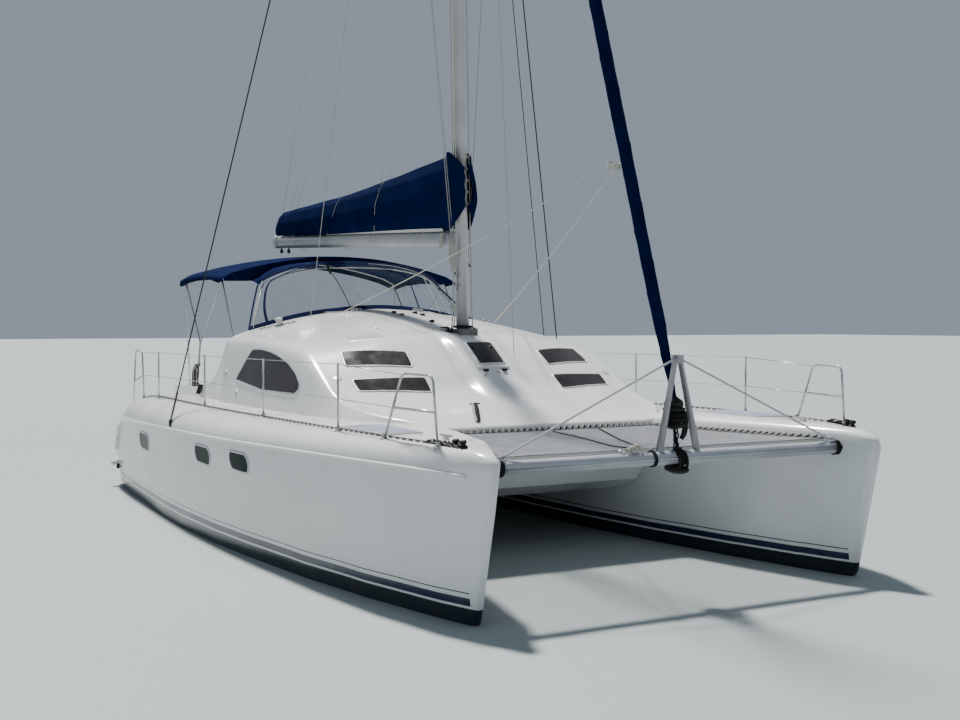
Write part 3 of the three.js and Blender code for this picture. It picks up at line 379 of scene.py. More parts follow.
def beam_alloy():
    """The crossbeam's drawn tube, with its lines across the boat."""
    material, shader = new_material("beam_alloy", (0.46, 0.47, 0.52), 0.45, 0.4)
    colour_patches(material, shader, 3, (0.42, 0.43, 0.48), (0.50, 0.51, 0.56), 0.35, 0.7)
    roughness_patches(material, shader, 30, 0.38, 0.5, (1, 0.2, 1))
    grain(material, shader, 400, 2, 0.04, 0.0005, (1, 0.1, 1))
    return material


def toe_rail_alloy():
    material, shader = new_material("toe_rail_alloy", (0.12, 0.115, 0.11), 0.5, 0.3)
    colour_patches(material, shader, 8, (0.09, 0.087, 0.083), (0.20, 0.195, 0.19))
    roughness_patches(material, shader, 30, 0.4, 0.6)
    return material


def window_trim():
    """Pale alloy and gelcoat trim, dulled along its edges."""
    material, shader = new_material("window_trim", (0.60, 0.62, 0.62), 0.35, 0.25)
    colour_patches(material, shader, 9, (0.52, 0.54, 0.54), (0.68, 0.70, 0.70))
    roughness_patches(material, shader, 18, 0.26, 0.45)
    grain(material, shader, 260, 2, 0.08, 0.001)
    return material


def stainless():
    material, shader = new_material("stainless", (0.50, 0.50, 0.50), 0.32, 0.6)
    colour_patches(material, shader, 14, (0.42, 0.42, 0.41), (0.58, 0.58, 0.58), 0.35, 0.7)
    roughness_patches(material, shader, 25, 0.22, 0.4)
    grain(material, shader, 300, 2, 0.04, 0.001)
    return material


def aged_bronze():
    material, shader = new_material("aged_bronze", (0.35, 0.22, 0.09), 0.45, 0.9)
    colour_patches(material, shader, 18, (0.2, 0.16, 0.08), (0.42, 0.27, 0.1), 0.35, 0.65)
    grain(material, shader, 90, 3, 0.2, 0.002)
    return material


def rigging_wire():
    """Stranded wire, dark against the sky, with painted shade in the grooves between its strands."""
    material, shader = new_material("rigging_wire", (0.02, 0.02, 0.022), 0.6, 0.2)
    strands = wave(material, "DIAGONAL", place(material), Scale=60.0)
    # Darker where the strands dip: painted shade in the grooves of the lay.
    colour = ramp(material, strands, ((0.2, grey(0.008)), (0.8, grey(0.03))))
    link(material, colour, shader.inputs["Base Color"])
    bump(material, shader, strands, 0.4, 0.001)
    return material


def black_plastic():
    material, shader = new_material("black_plastic", (0.012, 0.012, 0.013), 0.5, Specular_IOR_Level=0.25)
    colour_patches(material, shader, 20, grey(0.007), grey(0.020))
    roughness_patches(material, shader, 12, 0.38, 0.62)
    grain(material, shader, 500, 2, 0.15, 0.0008)
    return material


# Cloth, cord and grip

THREADS_PER_METRE = 260
ROPE_LAY = (52, 1.885, 1)


def weave(material, shader):
    """Plain weave: two crossing waves on the cloth's own map."""
    threads = place(material, (THREADS_PER_METRE, THREADS_PER_METRE, THREADS_PER_METRE), "UV")
    warp, weft = [wave(material, direction, threads, Scale=1.0) for direction in ("X", "Y")]
    bump(material, shader, math_node(material, "MAXIMUM", warp, weft), 0.35, 0.0008)


def dull_canvas(name, low, high):
    """Acrylic canvas with sun-faded patches, small puckers and a weave."""
    material, shader = new_material(name, low, 0.9, IOR=1.15, Specular_IOR_Level=0.2)
    colour_patches(material, shader, 3.5, low, high)
    grain(material, shader, 14, 3, 0.12, 0.004)
    weave(material, shader)
    return material


def net_cord():
    material, shader = new_material("net_cord", (0.44, 0.45, 0.47), 0.8)
    colour_patches(material, shader, 5, (0.38, 0.39, 0.41), (0.52, 0.53, 0.55))
    grain(material, shader, 700, 2, 0.4, 0.001)
    return material


def rope(name, light, dark):
    """Laid rope: slanting strands along the piece's own map, with painted shade in the grooves between them.
    """
    material, shader = new_material(name, light, 0.8, Specular_IOR_Level=0.12)
    lay = wave(material, "DIAGONAL", place(material, ROPE_LAY, "UV"), Scale=1.0, Distortion=0.6)
    # The second colour is painted shade: the strands turn darker where the lay dips into a groove.
    link(material, ramp(material, lay, ((0.2, dark), (0.7, light))), shader.inputs["Base Color"])
    bump(material, shader, lay, 0.5, 0.002)
    return material


def locker_grip():
    """Grey-blue moulded grip with fine ribs across the boat, and painted shade in the grooves between the
    ribs.
    """
    material, shader = new_material("locker_grip", (0.26, 0.28, 0.38), 0.8)
    ribs = wave(material, "X", place(material), Scale=14.0, Distortion=0.2)
    faded = ramp(material, noise(material, 5, 3), ((0.3, (0.22, 0.24, 0.34)), (0.75, (0.32, 0.34, 0.44))))
    # Painted shade: the colour is darkened where the ribs dip into their grooves.
    rib_groove_shade = ramp(material, ribs, ((0.2, grey(0.86)), (0.7, grey(1.0))))
    link(material, mix_colour(material, 1.0, faded, rib_groove_shade, "MULTIPLY"), shader.inputs["Base Color"])
    bump(material, shader, ribs, 0.4, 0.002)
    return material


# Ways of finishing a piece

def pick(*parts):
    """Leaves only these parts selected, the first of them active."""
    bpy.ops.object.select_all(action="DESELECT")
    for part in parts:
        part.select_set(True)
    bpy.context.view_layer.objects.active = parts[0]


def settle(obj, name, body, material, smooth=40):
    """Bakes the piece's place into its mesh, shades it and lets it ride."""
    pick(obj)
    obj.name = name
    obj.data.name = name
    bpy.ops.object.transform_apply(location=True, rotation=True, scale=True)
    obj.data.materials.clear()
    obj.data.materials.append(material)
    bpy.ops.object.shade_smooth_by_angle(angle=math.radians(smooth))
    if body:
        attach(obj, body)
    return obj


def join(parts):
    pick(*parts)
    if len(parts) > 1:
        bpy.ops.object.join()
    return parts[0]


def assemble(name, parts, material, body="boat", smooth=40):
    """Joins the parts of one fitting into a piece with its finish."""
    return settle(join(parts), name, body, material, smooth)


def apply_modifier(obj, kind, **settings):
    pick(obj)
    modifier = obj.modifiers.new(kind.lower(), kind)
    for key, value in settings.items():
        setattr(modifier, key, value)
    bpy.ops.object.modifier_apply(modifier=modifier.name)


def thicken(obj, thickness):
    apply_modifier(obj, "SOLIDIFY", thickness=thickness, offset=0.0)


def cut_away(obj, tool):
    apply_modifier(obj, "BOOLEAN", object=tool, operation="DIFFERENCE", solver="EXACT")
    bpy.data.objects.remove(tool)


def merge_points(obj, gap, outward=True):
    """Closes a piece's seams, and turns its faces outwards."""
    pick(obj)
    bpy.ops.object.mode_set(mode="EDIT")
    bpy.ops.mesh.select_all(action="SELECT")
    bpy.ops.mesh.remove_doubles(threshold=gap)
    if outward:
        bpy.ops.mesh.normals_make_consistent(inside=False)
    bpy.ops.object.mode_set(mode="OBJECT")


def object_of(name, made):
    mesh = bpy.data.meshes.new(name)
    made.to_mesh(mesh)
    made.free()
    obj = bpy.data.objects.new(name, mesh)
    bpy.context.scene.collection.objects.link(obj)
    return obj


def cloth_grid(name, rows, across=1.0, along=1.0):
    """A sheet over rows of points, with a map of its flat size in metres."""
    made = bmesh.new()
    uv = made.loops.layers.uv.new("flat")
    grid = [[made.verts.new(p) for p in row] for row in rows]
    for i in range(len(rows) - 1):
        for j in range(len(rows[0]) - 1):
            corners = ((i, j), (i, j + 1), (i + 1, j + 1), (i + 1, j))
            face = made.faces.new([grid[u][v] for u, v in corners])
            for loop, (u, v) in zip(face.loops, corners):
                loop[uv].uv = (along * u / (len(rows) - 1), across * v / (len(rows[0]) - 1))
    return object_of(name, made)


def bridge(made, low, high):
    """Faces between two rings of corners."""
    count = len(low)
    return [
        made.faces.new((low[k], low[(k + 1) % count], high[(k + 1) % count], high[k])) for k in range(count)
    ]


# Ways of making a fitting

def strand(routes, radius, sides=8, flatten=1.0):
    """Wires, ropes and bars: a round section carried along each route, its ends closed."""
    made = bmesh.new()
    flat = made.loops.layers.uv.new("flat")
    turns = [2 * math.pi * k / sides for k in range(sides)]
    for route in routes:
        points = [Vector(p) for p in route]
        rings, reach, side = [], [0.0], None
        for i, p in enumerate(points):
            ahead = (points[min(i + 1, len(points) - 1)] - points[max(i - 1, 0)]).normalized()
            side = ahead.orthogonal().normalized() if side is None else side
            side = (side - ahead * side.dot(ahead)).normalized()
            across = ahead.cross(side)
            rings.append([
                made.verts.new(p + radius * (math.cos(t) * side + flatten * math.sin(t) * across))
                for t in turns
            ])
            if i:
                reach.append(reach[-1] + (p - points[i - 1]).length)
        for i in range(len(rings) - 1):
            for k, face in enumerate(bridge(made, rings[i], rings[i + 1])):
                corners = ((reach[i], k), (reach[i], k + 1), (reach[i + 1], k + 1), (reach[i + 1], k))
                for loop, (u, v) in zip(face.loops, corners):
                    loop[flat].uv = (u, v / sides)
        made.faces.new(rings[0][::-1])
        made.faces.new(rings[-1])
    return object_of("strand", made)


def turned(profile, centre, axis=UP, sides=20):
    """A turned fitting: a profile of (radius, height) carried round its axis."""
    made = bmesh.new()
    turn = Vector(axis).to_track_quat("Z", "Y")
    rings = []
    for radius, height in profile:
        ring = []
        for k in range(sides):
            angle = 2 * math.pi * k / sides
            spot = Vector((radius * math.cos(angle), radius * math.sin(angle), height))
            ring.append(made.verts.new(Vector(centre) + turn @ spot))
        rings.append(ring)
    for low, high in zip(rings, rings[1:]):
        bridge(made, low, high)
    made.faces.new(rings[0][::-1])
    made.faces.new(rings[-1])
    return object_of("turned", made)


def plain_box(low, high):
    low, high = Vector(low), Vector(high)
    bpy.ops.object.select_all(action="DESELECT")
    bpy.ops.mesh.primitive_cube_add(size=1, location=(low + high) / 2, scale=high - low)
    bpy.ops.object.transform_apply(location=True, rotation=True, scale=True)
    return bpy.context.object


BLOCK_INSET, BLOCK_RAISE = 0.2, 0.08


def block(low, high, edge):
    """A moulded block: its top is inset and raised a little, its edges are rounded."""
    least = min(Vector(high) - Vector(low))
    obj = plain_box(low, high)
    bpy.ops.object.mode_set(mode="EDIT")
    bpy.ops.mesh.select_all(action="DESELECT")
    made = bmesh.from_edit_mesh(obj.data)
    for face in made.faces:
        face.select = face.normal.z > 0.9
    bmesh.update_edit_mesh(obj.data)
    bpy.ops.mesh.inset(thickness=least * BLOCK_INSET)
    bpy.ops.transform.translate(value=(0, 0, least * BLOCK_RAISE))
    bpy.ops.object.mode_set(mode="OBJECT")
    apply_modifier(obj, "BEVEL", width=edge, segments=2)
    return obj


def block_at(spot, low, high, edge):
    """A block whose two corners are told from a spot."""
    return block(off(spot, *low), off(spot, *high), edge)


def off(spot, x, y, z):
    return Vector(spot) + Vector((x, y, z))


def circle(centre, radius, axis, steps=16):
    turn = Vector(axis).to_track_quat("Z", "Y")
    return [
        Vector(centre) + turn @ Vector((radius * math.cos(a), radius * math.sin(a), 0))
        for a in (2 * math.pi * k / steps for k in range(steps + 1))
    ]


def coil(centre, radius, axis, turns, pitch, steps=14):
    """Turns of rope laid side by side, each a little out of true."""
    turn = Vector(axis).to_track_quat("Z", "Y")
    points = []
    for k in range(int(turns * steps) + 1):
        a = 2 * math.pi * k / steps
        wander = 1 + 0.05 * math.sin(2.7 * a)
        spot = Vector((radius * wander * math.cos(a), radius * wander * math.sin(a), pitch * k / steps))
        points.append(Vector(centre) + turn @ spot)
    return points


def curve_through(points, steps=6):
    """A smooth route through its points."""
    points = [Vector(p) for p in points]
    route = []
    for i in range(len(points) - 1):
        before = points[max(i - 1, 0)]
        a, b = points[i], points[i + 1]
        beyond = points[min(i + 2, len(points) - 1)]
        for k in range(steps):
            t = k / steps
            route.append(0.5 * (
                2 * a + (b - before) * t + (2 * before - 5 * a + 4 * b - beyond) * t * t
                + (3 * a - before - 3 * b + beyond) * t ** 3
            ))
    return [*route, points[-1]]


def loop_about(centre, steps, *offsets):
    """A smooth route through places told from a centre."""
    return curve_through([off(centre, *offset) for offset in offsets], steps)


def sagging(start, end, sag, steps=24):
    """A line held at both ends, with a little sag."""
    start, end = Vector(start), Vector(end)
    return [
        start.lerp(end, k / steps) - Vector((0, 0, sag * math.sin(math.pi * k / steps)))
        for k in range(steps + 1)
    ]


def rounded_loop(corners, reach, steps=4):
    """A closed outline whose corners are rounded off."""
    corners = [Vector(c) for c in corners]

    def towards(corner, other):
        away = other - corner
        return corner + away.normalized() * min(reach, away.length * 0.45)

    route = []
    for i, corner in enumerate(corners):
        before, after = corners[i - 1], corners[(i + 1) % len(corners)]
        start, end = towards(corner, before), towards(corner, after)
        for k in range(steps + 1):
            t = k / steps
            route.append((1 - t) ** 2 * start + 2 * t * (1 - t) * corner + t * t * end)
        following = towards(after, corner)
        pieces = max(round((following - end).length / 0.06), 1)
        route.extend(end.lerp(following, k / pieces) for k in range(1, pieces))
    return route


# Ways of finding a place

def smoothstep(low, high, value):
    share = min(max((value - low) / (high - low), 0.0), 1.0)
    return share * share * (3 - 2 * share)


def read_table(table, value):
    """Rows of (key, ...) read between, in straight steps."""
    if value <= table[0][0]:
        return table[0][1:]
    for (k0, *a), (k1, *b) in zip(table, table[1:]):
        if value <= k1:
            share = (value - k0) / (k1 - k0)
            return tuple(p + (q - p) * share for p, q in zip(a, b))
    return table[-1][1:]


def eased_row(table, x):
    """The table's values at x, on a smooth curve through its rows."""
    last = len(table) - 1
    i = min(max((k for k in range(last) if table[k][0] <= x), default=0), last - 1)
    span = table[i + 1][0] - table[i][0]
    t = (x - table[i][0]) / span

    def slope(k, c):
        a, b = table[max(k - 1, 0)], table[min(k + 1, last)]
        return (b[c] - a[c]) / (b[0] - a[0]) * span

    return [
        (2 * t ** 3 - 3 * t ** 2 + 1) * table[i][c] + (t ** 3 - 2 * t ** 2 + t) * slope(i, c)
        + (3 * t ** 2 - 2 * t ** 3) * table[i + 1][c] + (t ** 3 - t ** 2) * slope(i + 1, c)
        for c in range(1, len(table[0]))
    ]


def tree_of(obj):
    return BVHTree.FromPolygons(
        [v.co for v in obj.data.vertices], [tuple(p.vertices) for p in obj.data.polygons]
    )


def land(tree, start, ray=DOWN):
    """Where a ray meets a skin, and which way the skin faces there."""
    return tree.ray_cast(Vector(start), Vector(ray).normalized())[:2]


def on_roof(x, y, lift=0.0):
    spot, normal = land(ROOF_TREE, (x, y, OVERHEAD))
    return spot + normal * lift


def mast_at(z, forward=0.0, across=0.0):
    return Vector((MAST_FOOT.x - MAST_RAKE * (z - MAST_FOOT.z) + forward, across, z))


def boom_point(along, across, up):
    """A point in the boom's own frame, swung with it to where it lies."""
    x, y = -along, across
    return Vector((
        GOOSENECK.x + x * math.cos(BOOM_YAW) - y * math.sin(BOOM_YAW),
        x * math.sin(BOOM_YAW) + y * math.cos(BOOM_YAW),
        GOOSENECK.z + BOOM_RISE * along + up,
    ))


# Furled headsail

GENOA_RADII = (
    (1.9613, 0.026), (2.25, 0.046), (2.7, 0.066), (5.0, 0.074),
    (11.0, 0.070), (14.6, 0.048), (15.5, 0.026), (15.95, 0.016),
)
GENOA_RINGS, GENOA_SIDES = 420, 20
LEECH_PITCH = 0.62


def furled_headsail(canvas):
    """The rolled sail: one long roll whose leech edge winds round it as a ridge."""
    low, high = FURLER.z + 0.0003, GENOA_RADII[-1][0]
    rows = []
    for i in range(GENOA_RINGS + 1):
        z = low + (high - low) * i / GENOA_RINGS
        (radius,) = read_table(GENOA_RADII, z)
        wind = 2 * math.pi * (z - low) / LEECH_PITCH
        row = []
        for j in range(GENOA_SIDES + 1):
            turn = 2 * math.pi * (j % GENOA_SIDES) / GENOA_SIDES
            lap = (turn - wind) % (2 * math.pi)
            edge = 0.006 * math.exp(-lap * 2.2) * min(1, radius / 0.05)
            crease = 0.0022 * math.sin(3 * turn + 11 * z) * math.sin(7.3 * z)
            out = radius - 0.004 + edge + crease
            row.append(Vector((
                FURLER.x - STAY_SLOPE * (z - FURLER.z) + out * math.cos(turn), out * math.sin(turn), z,
            )))
        rows.append(row)
    roll = cloth_grid("furled_headsail", rows, 0.45, high - low)
    merge_points(roll, 0.0002, outward=False)
    close_ends()
    settle(roll, "furled_headsail", "boat", canvas, 50)
    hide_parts("genoa_furled")


def close_ends():
    """Caps the open ends of the piece that is picked, and turns its faces outwards."""
    bpy.ops.object.mode_set(mode="EDIT")
    bpy.ops.mesh.select_all(action="DESELECT")
    bpy.ops.mesh.select_non_manifold()
    bpy.ops.mesh.edge_face_add()
    bpy.ops.mesh.select_all(action="SELECT")
    bpy.ops.mesh.normals_make_consistent(inside=False)
    bpy.ops.object.mode_set(mode="OBJECT")


# Mainsail cover

COVER = (
    # along the boom, height, half width
    (0.15, 0.985, 0.095), (0.7, 0.90, 0.135), (1.4, 0.79, 0.150), (2.8, 0.59, 0.155),
    (4.1, 0.47, 0.145), (5.06, 0.38, 0.115), (5.18, 0.26, 0.080),
)
COVER_HALF = ((0.0, 0.75), (0.22, 1.0), (0.5, 0.95), (0.82, 0.6), (1.0, 0.0))
COVER_RINGS, COVER_SIDE_POINTS = 91, 26
FLAPS = (
    # x and half width, top, foot
    (0.72, 0.120, 4.88, 3.86), (0.80, 0.136, 4.89, 3.87), (0.90, 0.140, 4.86, 3.90),
    (0.98, 0.122, 4.80, 3.97), (1.035, 0.066, 4.71, 4.08), (1.050, 0.018, 4.66, 4.16),
)
FLAP_LEVEL = 4.4
PORT_SLACK = 0.085


def cover_rise(along):
    """How far the cover's lower edge stands off the boom."""
    return 0.036 * smoothstep(3.5, 0.4, along)


def cover_section(share):
    """Half width at a share of the cover's height."""
    (half,) = read_table(COVER_HALF, share)
    return half


def cover_sides():
    """From one lower edge over the ridge to the other: the side and the share of the height."""
    for j in range(2 * COVER_SIDE_POINTS + 1):
        share = 1 - abs(j / COVER_SIDE_POINTS - 1)
        yield -1 if j < COVER_SIDE_POINTS else 1, math.sin(share * math.pi / 2)


def cover_ring(along):
    height, half = read_table(COVER, along)
    ring = []
    for side, lift in cover_sides():
        sag = 0.006 * math.sin(along * 5.1 + 2.6 * lift) * math.sin(lift * math.pi)
        pull = 0.008 * math.sin(9 * lift + 3.3 * along) * smoothstep(1.6, 0.3, along)
        droop = 0.004 * math.sin(along * math.pi / 0.9) ** 2 * lift ** 4
        rise = cover_rise(along) * (1 - lift)
        across = side * half * cover_section(lift) * (1 + 3.0 * (sag + pull))
        ring.append(boom_point(along, across, BOOM_HALF_DEPTH + 0.003 + rise + height * lift - droop))
    return ring


def flap_ring(number, x, y, top, foot):
    """The cloth round the mast; its port side stands off in a slack fold."""
    ring = []
    for side, lift in cover_sides():
        z = foot + (top - foot) * lift
        ripple = 0.006 * math.sin(18 * lift + 40 * x)
        fold = math.sin(math.pi * lift ** 0.75) ** 1.4 if side > 0 else 0
        slack = PORT_SLACK * min(number / 4, 1) * fold
        ring.append(Vector((x - MAST_RAKE * (z - FLAP_LEVEL), side * (y + ripple + slack), z)))
    return ring


def mainsail_cover(canvas):
    """One cloth over the flaked sail, its front flaps closed round the mast."""
    start, end = COVER[0][0], COVER[-1][0]
    rows = [flap_ring(number, *flap) for number, flap in enumerate(FLAPS, 1)][::-1]
    rows += [cover_ring(start + (end - start) * i / COVER_RINGS) for i in range(COVER_RINGS + 1)]
    cover = cloth_grid("mainsail_cover", rows, 2.1, 5.5)
    open_front_slit(cover)
    apply_modifier(cover, "SUBSURF", levels=1, render_levels=1)
    thicken(cover, 0.003)
    settle(cover, "mainsail_cover", None, canvas, 60)
    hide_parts("sail_cover", "sail_collar")
    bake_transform(cover)
    return cover


def open_front_slit(cover):
    """The cloth round the mast has no ridge: its faces there are taken away."""
    made = bmesh.new()
    made.from_mesh(cover.data)
    made.faces.ensure_lookup_table()
    ridge = [
        made.faces[i * 2 * COVER_SIDE_POINTS + j]
        for i in range(len(FLAPS))
        for j in (COVER_SIDE_POINTS - 1, COVER_SIDE_POINTS)
    ]
    bmesh.ops.delete(made, geom=ridge, context="FACES")
    made.to_mesh(cover.data)
    made.free()


# Moulded shells, shaded as one smooth skin

def smoothed(node, material, angle=35):
    """A merged, softly shaded double of a solid, which stands for it."""
    double = bpy.data.objects.new(f"{node}_skin", frame["nodes"][node].data.copy())
    bpy.context.scene.collection.objects.link(double)
    merge_points(double, 0.0002, outward=False)
    bodies = frame["record"]["behaviour"]["bodies"]
    body = next(name for name, nodes in bodies.items() if node in nodes)
    settle(double, f"{node}_skin", body, material, angle)
    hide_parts(node)
    return double


ROOF_ROWS = (
    # x, base, side's y and z, shoulder's y and z, middle's y and z, crown, ridge
    (-2.05, 2.32, 2.20, 2.33, 2.00, 2.53, 1.20, 2.79, 2.90, 0.0),
    (-1.0, 2.32, 2.19, 2.32, 1.99, 2.52, 1.20, 2.74, 2.84, 0.0),
    (0.0, 2.32, 2.18, 2.27, 1.97, 2.46, 1.15, 2.64, 2.71, 0.0),
    (0.6, 2.31, 2.17, 2.21, 1.96, 2.39, 1.00, 2.555, 2.59, 0.01),
    (0.955, 2.30, 2.16, 2.11, 1.97, 2.25, 0.95, 2.50, 2.52, 0.035),
    (1.236, 2.29, 2.15, 1.985, 1.96, 2.10, 0.93, 2.332, 2.385, 0.09),
    (1.5, 2.28, 2.14, 1.87, 1.95, 1.95, 0.93, 2.148, 2.205, 0.11),
    (1.7, 2.27, 2.12, 1.785, 1.93, 1.835, 0.93, 2.01, 2.07, 0.105),
    (1.93, 2.25, 2.09, 1.715, 1.89, 1.755, 0.92, 1.848, 1.91, 0.085),
    (2.4, 2.15, 1.99, 1.64, 1.80, 1.665, 0.90, 1.71, 1.75, 0.045),
    (2.78, 1.86, 1.76, 1.580, 1.60, 1.600, 0.85, 1.635, 1.655, 0.015),
    (3.05, 1.56, 1.50, 1.525, 1.40, 1.533, 0.80, 1.538, 1.540, 0.0),
)
ROOF_AFT, ROOF_FRONT = ROOF_ROWS[0][0], ROOF_ROWS[-1][0]
ROOF_FOOT = 1.44
RIDGE_HALF, RIDGE_FOOT = 0.30, 0.43
ROOF_THICK = 0.045
HOLLOW = (-2.005, 1.92)
DOORWAY = ((-2.2, -0.42, 1.3), (-1.9, 0.22, 2.47))
HATCHWAY = ((1.335, -0.2, 1.6), (1.747, 0.2, 2.7))
BELOW_DECK = ((-2.1, -2.4, 1.3), (3.1, 2.4, 1.521))


def roof_ring(x, inset):
    base, side_y, side_z, edge_y, edge_z, mid_y, mid_z, crown, ridge = eased_row(ROOF_ROWS, x)

    def top(y):
        return crown - (crown - mid_z) * (y / mid_y) ** 2 - inset

    half = [Vector(p) for p in (
        (base - inset, ROOF_FOOT), (side_y - inset, side_z - 0.4 * inset),
        ((side_y + edge_y) / 2 + 0.045 - 0.8 * inset, (side_z + edge_z) / 2 + 0.035 - 0.8 * inset),
        (edge_y - 0.4 * inset, edge_z - inset), (mid_y, mid_z - inset), (RIDGE_FOOT, top(RIDGE_FOOT)),
        (RIDGE_HALF, top(RIDGE_HALF) + ridge), (0, top(0) + ridge + 0.008),
    )]
    line = half + [Vector((-p.x, p.y)) for p in half[-2::-1]]
    for _ in range(2):
        cut = [a.lerp(b, share) for a, b in zip(line, line[1:]) for share in (0.25, 0.75)]
        line = [line[0], *cut, line[-1]]
    return [Vector((x, -p.x, p.y)) for p in line]


def roof_loft(low, high, inset, step=0.07):
    count = round((high - low) / step)
    made = bmesh.new()
    rings = []
    for i in range(count + 1):
        rings.append([made.verts.new(p) for p in roof_ring(low + (high - low) * i / count, inset)])
    for a, b in zip(rings, rings[1:]):
        for k in range(len(a)):
            n = (k + 1) % len(a)
            made.faces.new((a[k], b[k], b[n], a[n]))
    made.faces.new(rings[0])
    made.faces.new(rings[-1][::-1])
    bmesh.ops.recalc_face_normals(made, faces=made.faces)
    return object_of("roof_loft", made)


def coachroof(material):
    """The saloon's moulded roof as one fair skin, hollow, with its doorway and hatchway."""
    roof = roof_loft(ROOF_AFT, ROOF_FRONT, 0.0)
    tree = tree_of(roof)
    cut_away(roof, roof_loft(*HOLLOW, ROOF_THICK, 0.2))
    for opening in (DOORWAY, HATCHWAY, BELOW_DECK):
        cut_away(roof, plain_box(*opening))
    settle(roof, "coachroof_skin", "boat", material, 32)
    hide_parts("coachroof")
    return tree


def front_moulding(material):
    """The roof's lower edge carried down in one slope to the net's lacing."""
    ring = [p for p in roof_ring(ROOF_FRONT, 0.0) if p.z > 1.50]
    rows = []
    for ahead, drop in ((-0.05, -0.002), (0.0, 0.003), (0.018, 0.014), (0.032, 0.040), (0.038, 0.085)):
        rows.append([Vector((p.x + ahead, p.y, max(p.z - drop, 1.45) + 0.002)) for p in ring])
    moulding = cloth_grid("front_moulding", rows, 3, 0.12)
    thicken(moulding, 0.003)
    settle(moulding, "front_moulding", "boat", material, 50)


# Windows

PANE_SHARES = (1.0, 0.97, 0.85, 0.6, 0.3, 0.02)
PANE_LIFT = 0.003


def bedded_pane(name, landed, tree, centre, facing):
    """A sheet that follows the skin under it, from its outline in to its middle."""
    rows = []
    for share in PANE_SHARES:
        row = []
        for p, _ in landed:
            spot, _ = land(tree, centre.lerp(p, share) + facing * 0.3, -facing)
            row.append((spot if spot else centre) + facing * PANE_LIFT)
        rows.append([*row, row[0]])
    pane = cloth_grid(name, rows, 1, 1)
    thicken(pane, 0.004)
    return pane


def frame_ring(name, landed, centre, width, proud):
    """A thin rounded frame carried round a pane's outline."""
    section = (
        (-0.004, 0.001), (-0.002, proud), (width * 0.3, proud + 0.002), (width * 0.8, proud - 0.001),
        (width, 0.001), (width * 0.5, -0.006), (-0.004, 0.001),
    )
    rows = []
    count = len(landed)
    for i in range(count + 1):
        spot, normal = landed[i % count]
        ahead = (landed[(i + 1) % count][0] - landed[i % count - 1][0]).normalized()
        out = ahead.cross(normal).normalized()
        if out.dot(spot - centre) < 0:
            out.negate()
        rows.append([spot + out * across + normal * up for across, up in section])
    ring = cloth_grid(name, rows, 0.05, 2)
    merge_points(ring, 0.0003)
    return ring


def pane_and_frame(name, outline, tree, ray, glass, trim, body="boat", width=0.024, proud=0.007, node=None):
    """A dark pane bedded on the skin, inside its frame."""
    landed = [land(tree, p, ray) for p in outline]
    middle = sum((spot for spot, _ in landed), Vector()) / len(landed)
    centre, facing = land(tree, middle - Vector(ray).normalized(), ray)
    pane = bedded_pane(name, landed, tree, centre, facing)
    settle(pane, name, body, glass, 60)
    if node:
        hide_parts(node)
    ring = frame_ring(f"{name}_frame", landed, centre, width, proud)
    settle(ring, f"{name}_frame", body, trim, 60)


FRONT_WINDOWS = {
    "upper": ((1.236, 0.947), (0.955, 1.682), (1.221, 1.732), (1.481, 0.969)),
    "lower": ((1.685, 0.904), (1.484, 1.757), (1.683, 1.751), (1.91, 0.917)),
}
SIDE_WINDOW = (
    (-1.44, 1.905), (-0.96, 2.30), (-0.90, 2.322), (-0.56, 2.325), (-0.24, 2.30), (0.10, 2.25),
    (0.45, 2.17), (0.73, 2.06), (0.89, 1.94), (0.90, 1.87), (0.78, 1.808), (-0.30, 1.812),
)
# Aft and front ends, lower and upper edges
HULL_LIGHTS = ((-3.55, -2.90, 0.83, 1.055), (-0.33, 0.27, 0.94, 1.145), (0.95, 1.53, 0.972, 1.175))
HATCH_PANE = ((1.355, -0.175), (1.728, -0.175), (1.728, 0.175), (1.355, 0.175))
HATCH_GRIP = ((0.018, 0.0), (0.018, 0.012), (0.010, 0.016), (0.010, 0.022), (0.0005, 0.023))


def hull_light(name, light, side, tree, glass, trim):
    aft, front, low, high = light
    width = front - aft
    corners = (
        (aft, high), (front - 0.16 * width, high), (front, (low + high) / 2 + 0.02), (front - 0.02, low),
        (aft + 0.14 * width, low + 0.01), (aft, (low + high) / 2),
    )
    outline = rounded_loop([(x, side * OUTBOARD, z) for x, z in corners], 0.05)
    pane_and_frame(name, outline, tree, (0, -side, 0), glass, trim, width=0.03, proud=0.009)


def windows(glass, green_glass, trim, hull_trees):
    for name, side in SIDES:
        for row, corners in FRONT_WINDOWS.items():
            outline = rounded_loop([(x, side * y, OVERHEAD) for x, y in corners], 0.035)
            pane_and_frame(
                f"front_window_{row}_{name}", outline, ROOF_TREE, DOWN, glass, trim,
                node=f"window_{row}_{name}",
            )
        outline = rounded_loop([(x, side * OUTBOARD, z) for x, z in SIDE_WINDOW], 0.05)
        pane_and_frame(
            f"side_window_{name}", outline, ROOF_TREE, (0, -side, 0), glass, trim,
            width=0.03, node=f"window_side_{name}",
        )
        for number, light in enumerate(HULL_LIGHTS, 1):
            hull_light(f"hull_light_{number}_{name}", light, side, hull_trees[name], green_glass, trim)


def roof_hatch(glass, trim, plastic):
    """The hinged hatch on the roof's ridge: a dark pane in a pale frame, with its grips."""
    tree = tree_of(frame["nodes"]["roof_hatch_lid"])
    outline = rounded_loop([(x, y, OVERHEAD) for x, y in HATCH_PANE], 0.03)
    pane_and_frame("roof_hatch_pane", outline, tree, DOWN, glass, trim, "roof_hatch_lid", 0.022, 0.009)
    grips = []
    for y in (-0.13, 0.13):
        spot, normal = land(tree, (1.45, y, OVERHEAD))
        grips.append(turned(HATCH_GRIP, spot, normal, 12))
    assemble("roof_hatch_grips", grips, plastic, "roof_hatch_lid")
    hinges = [
        block_at(on_roof(1.80, side * 0.13), (-0.02, -0.03, -0.005), (0.03, 0.03, 0.02), 0.003)
        for side in (-1, 1)
    ]
    assemble("roof_hatch_hinges", hinges, plastic, "boat")


# Bimini

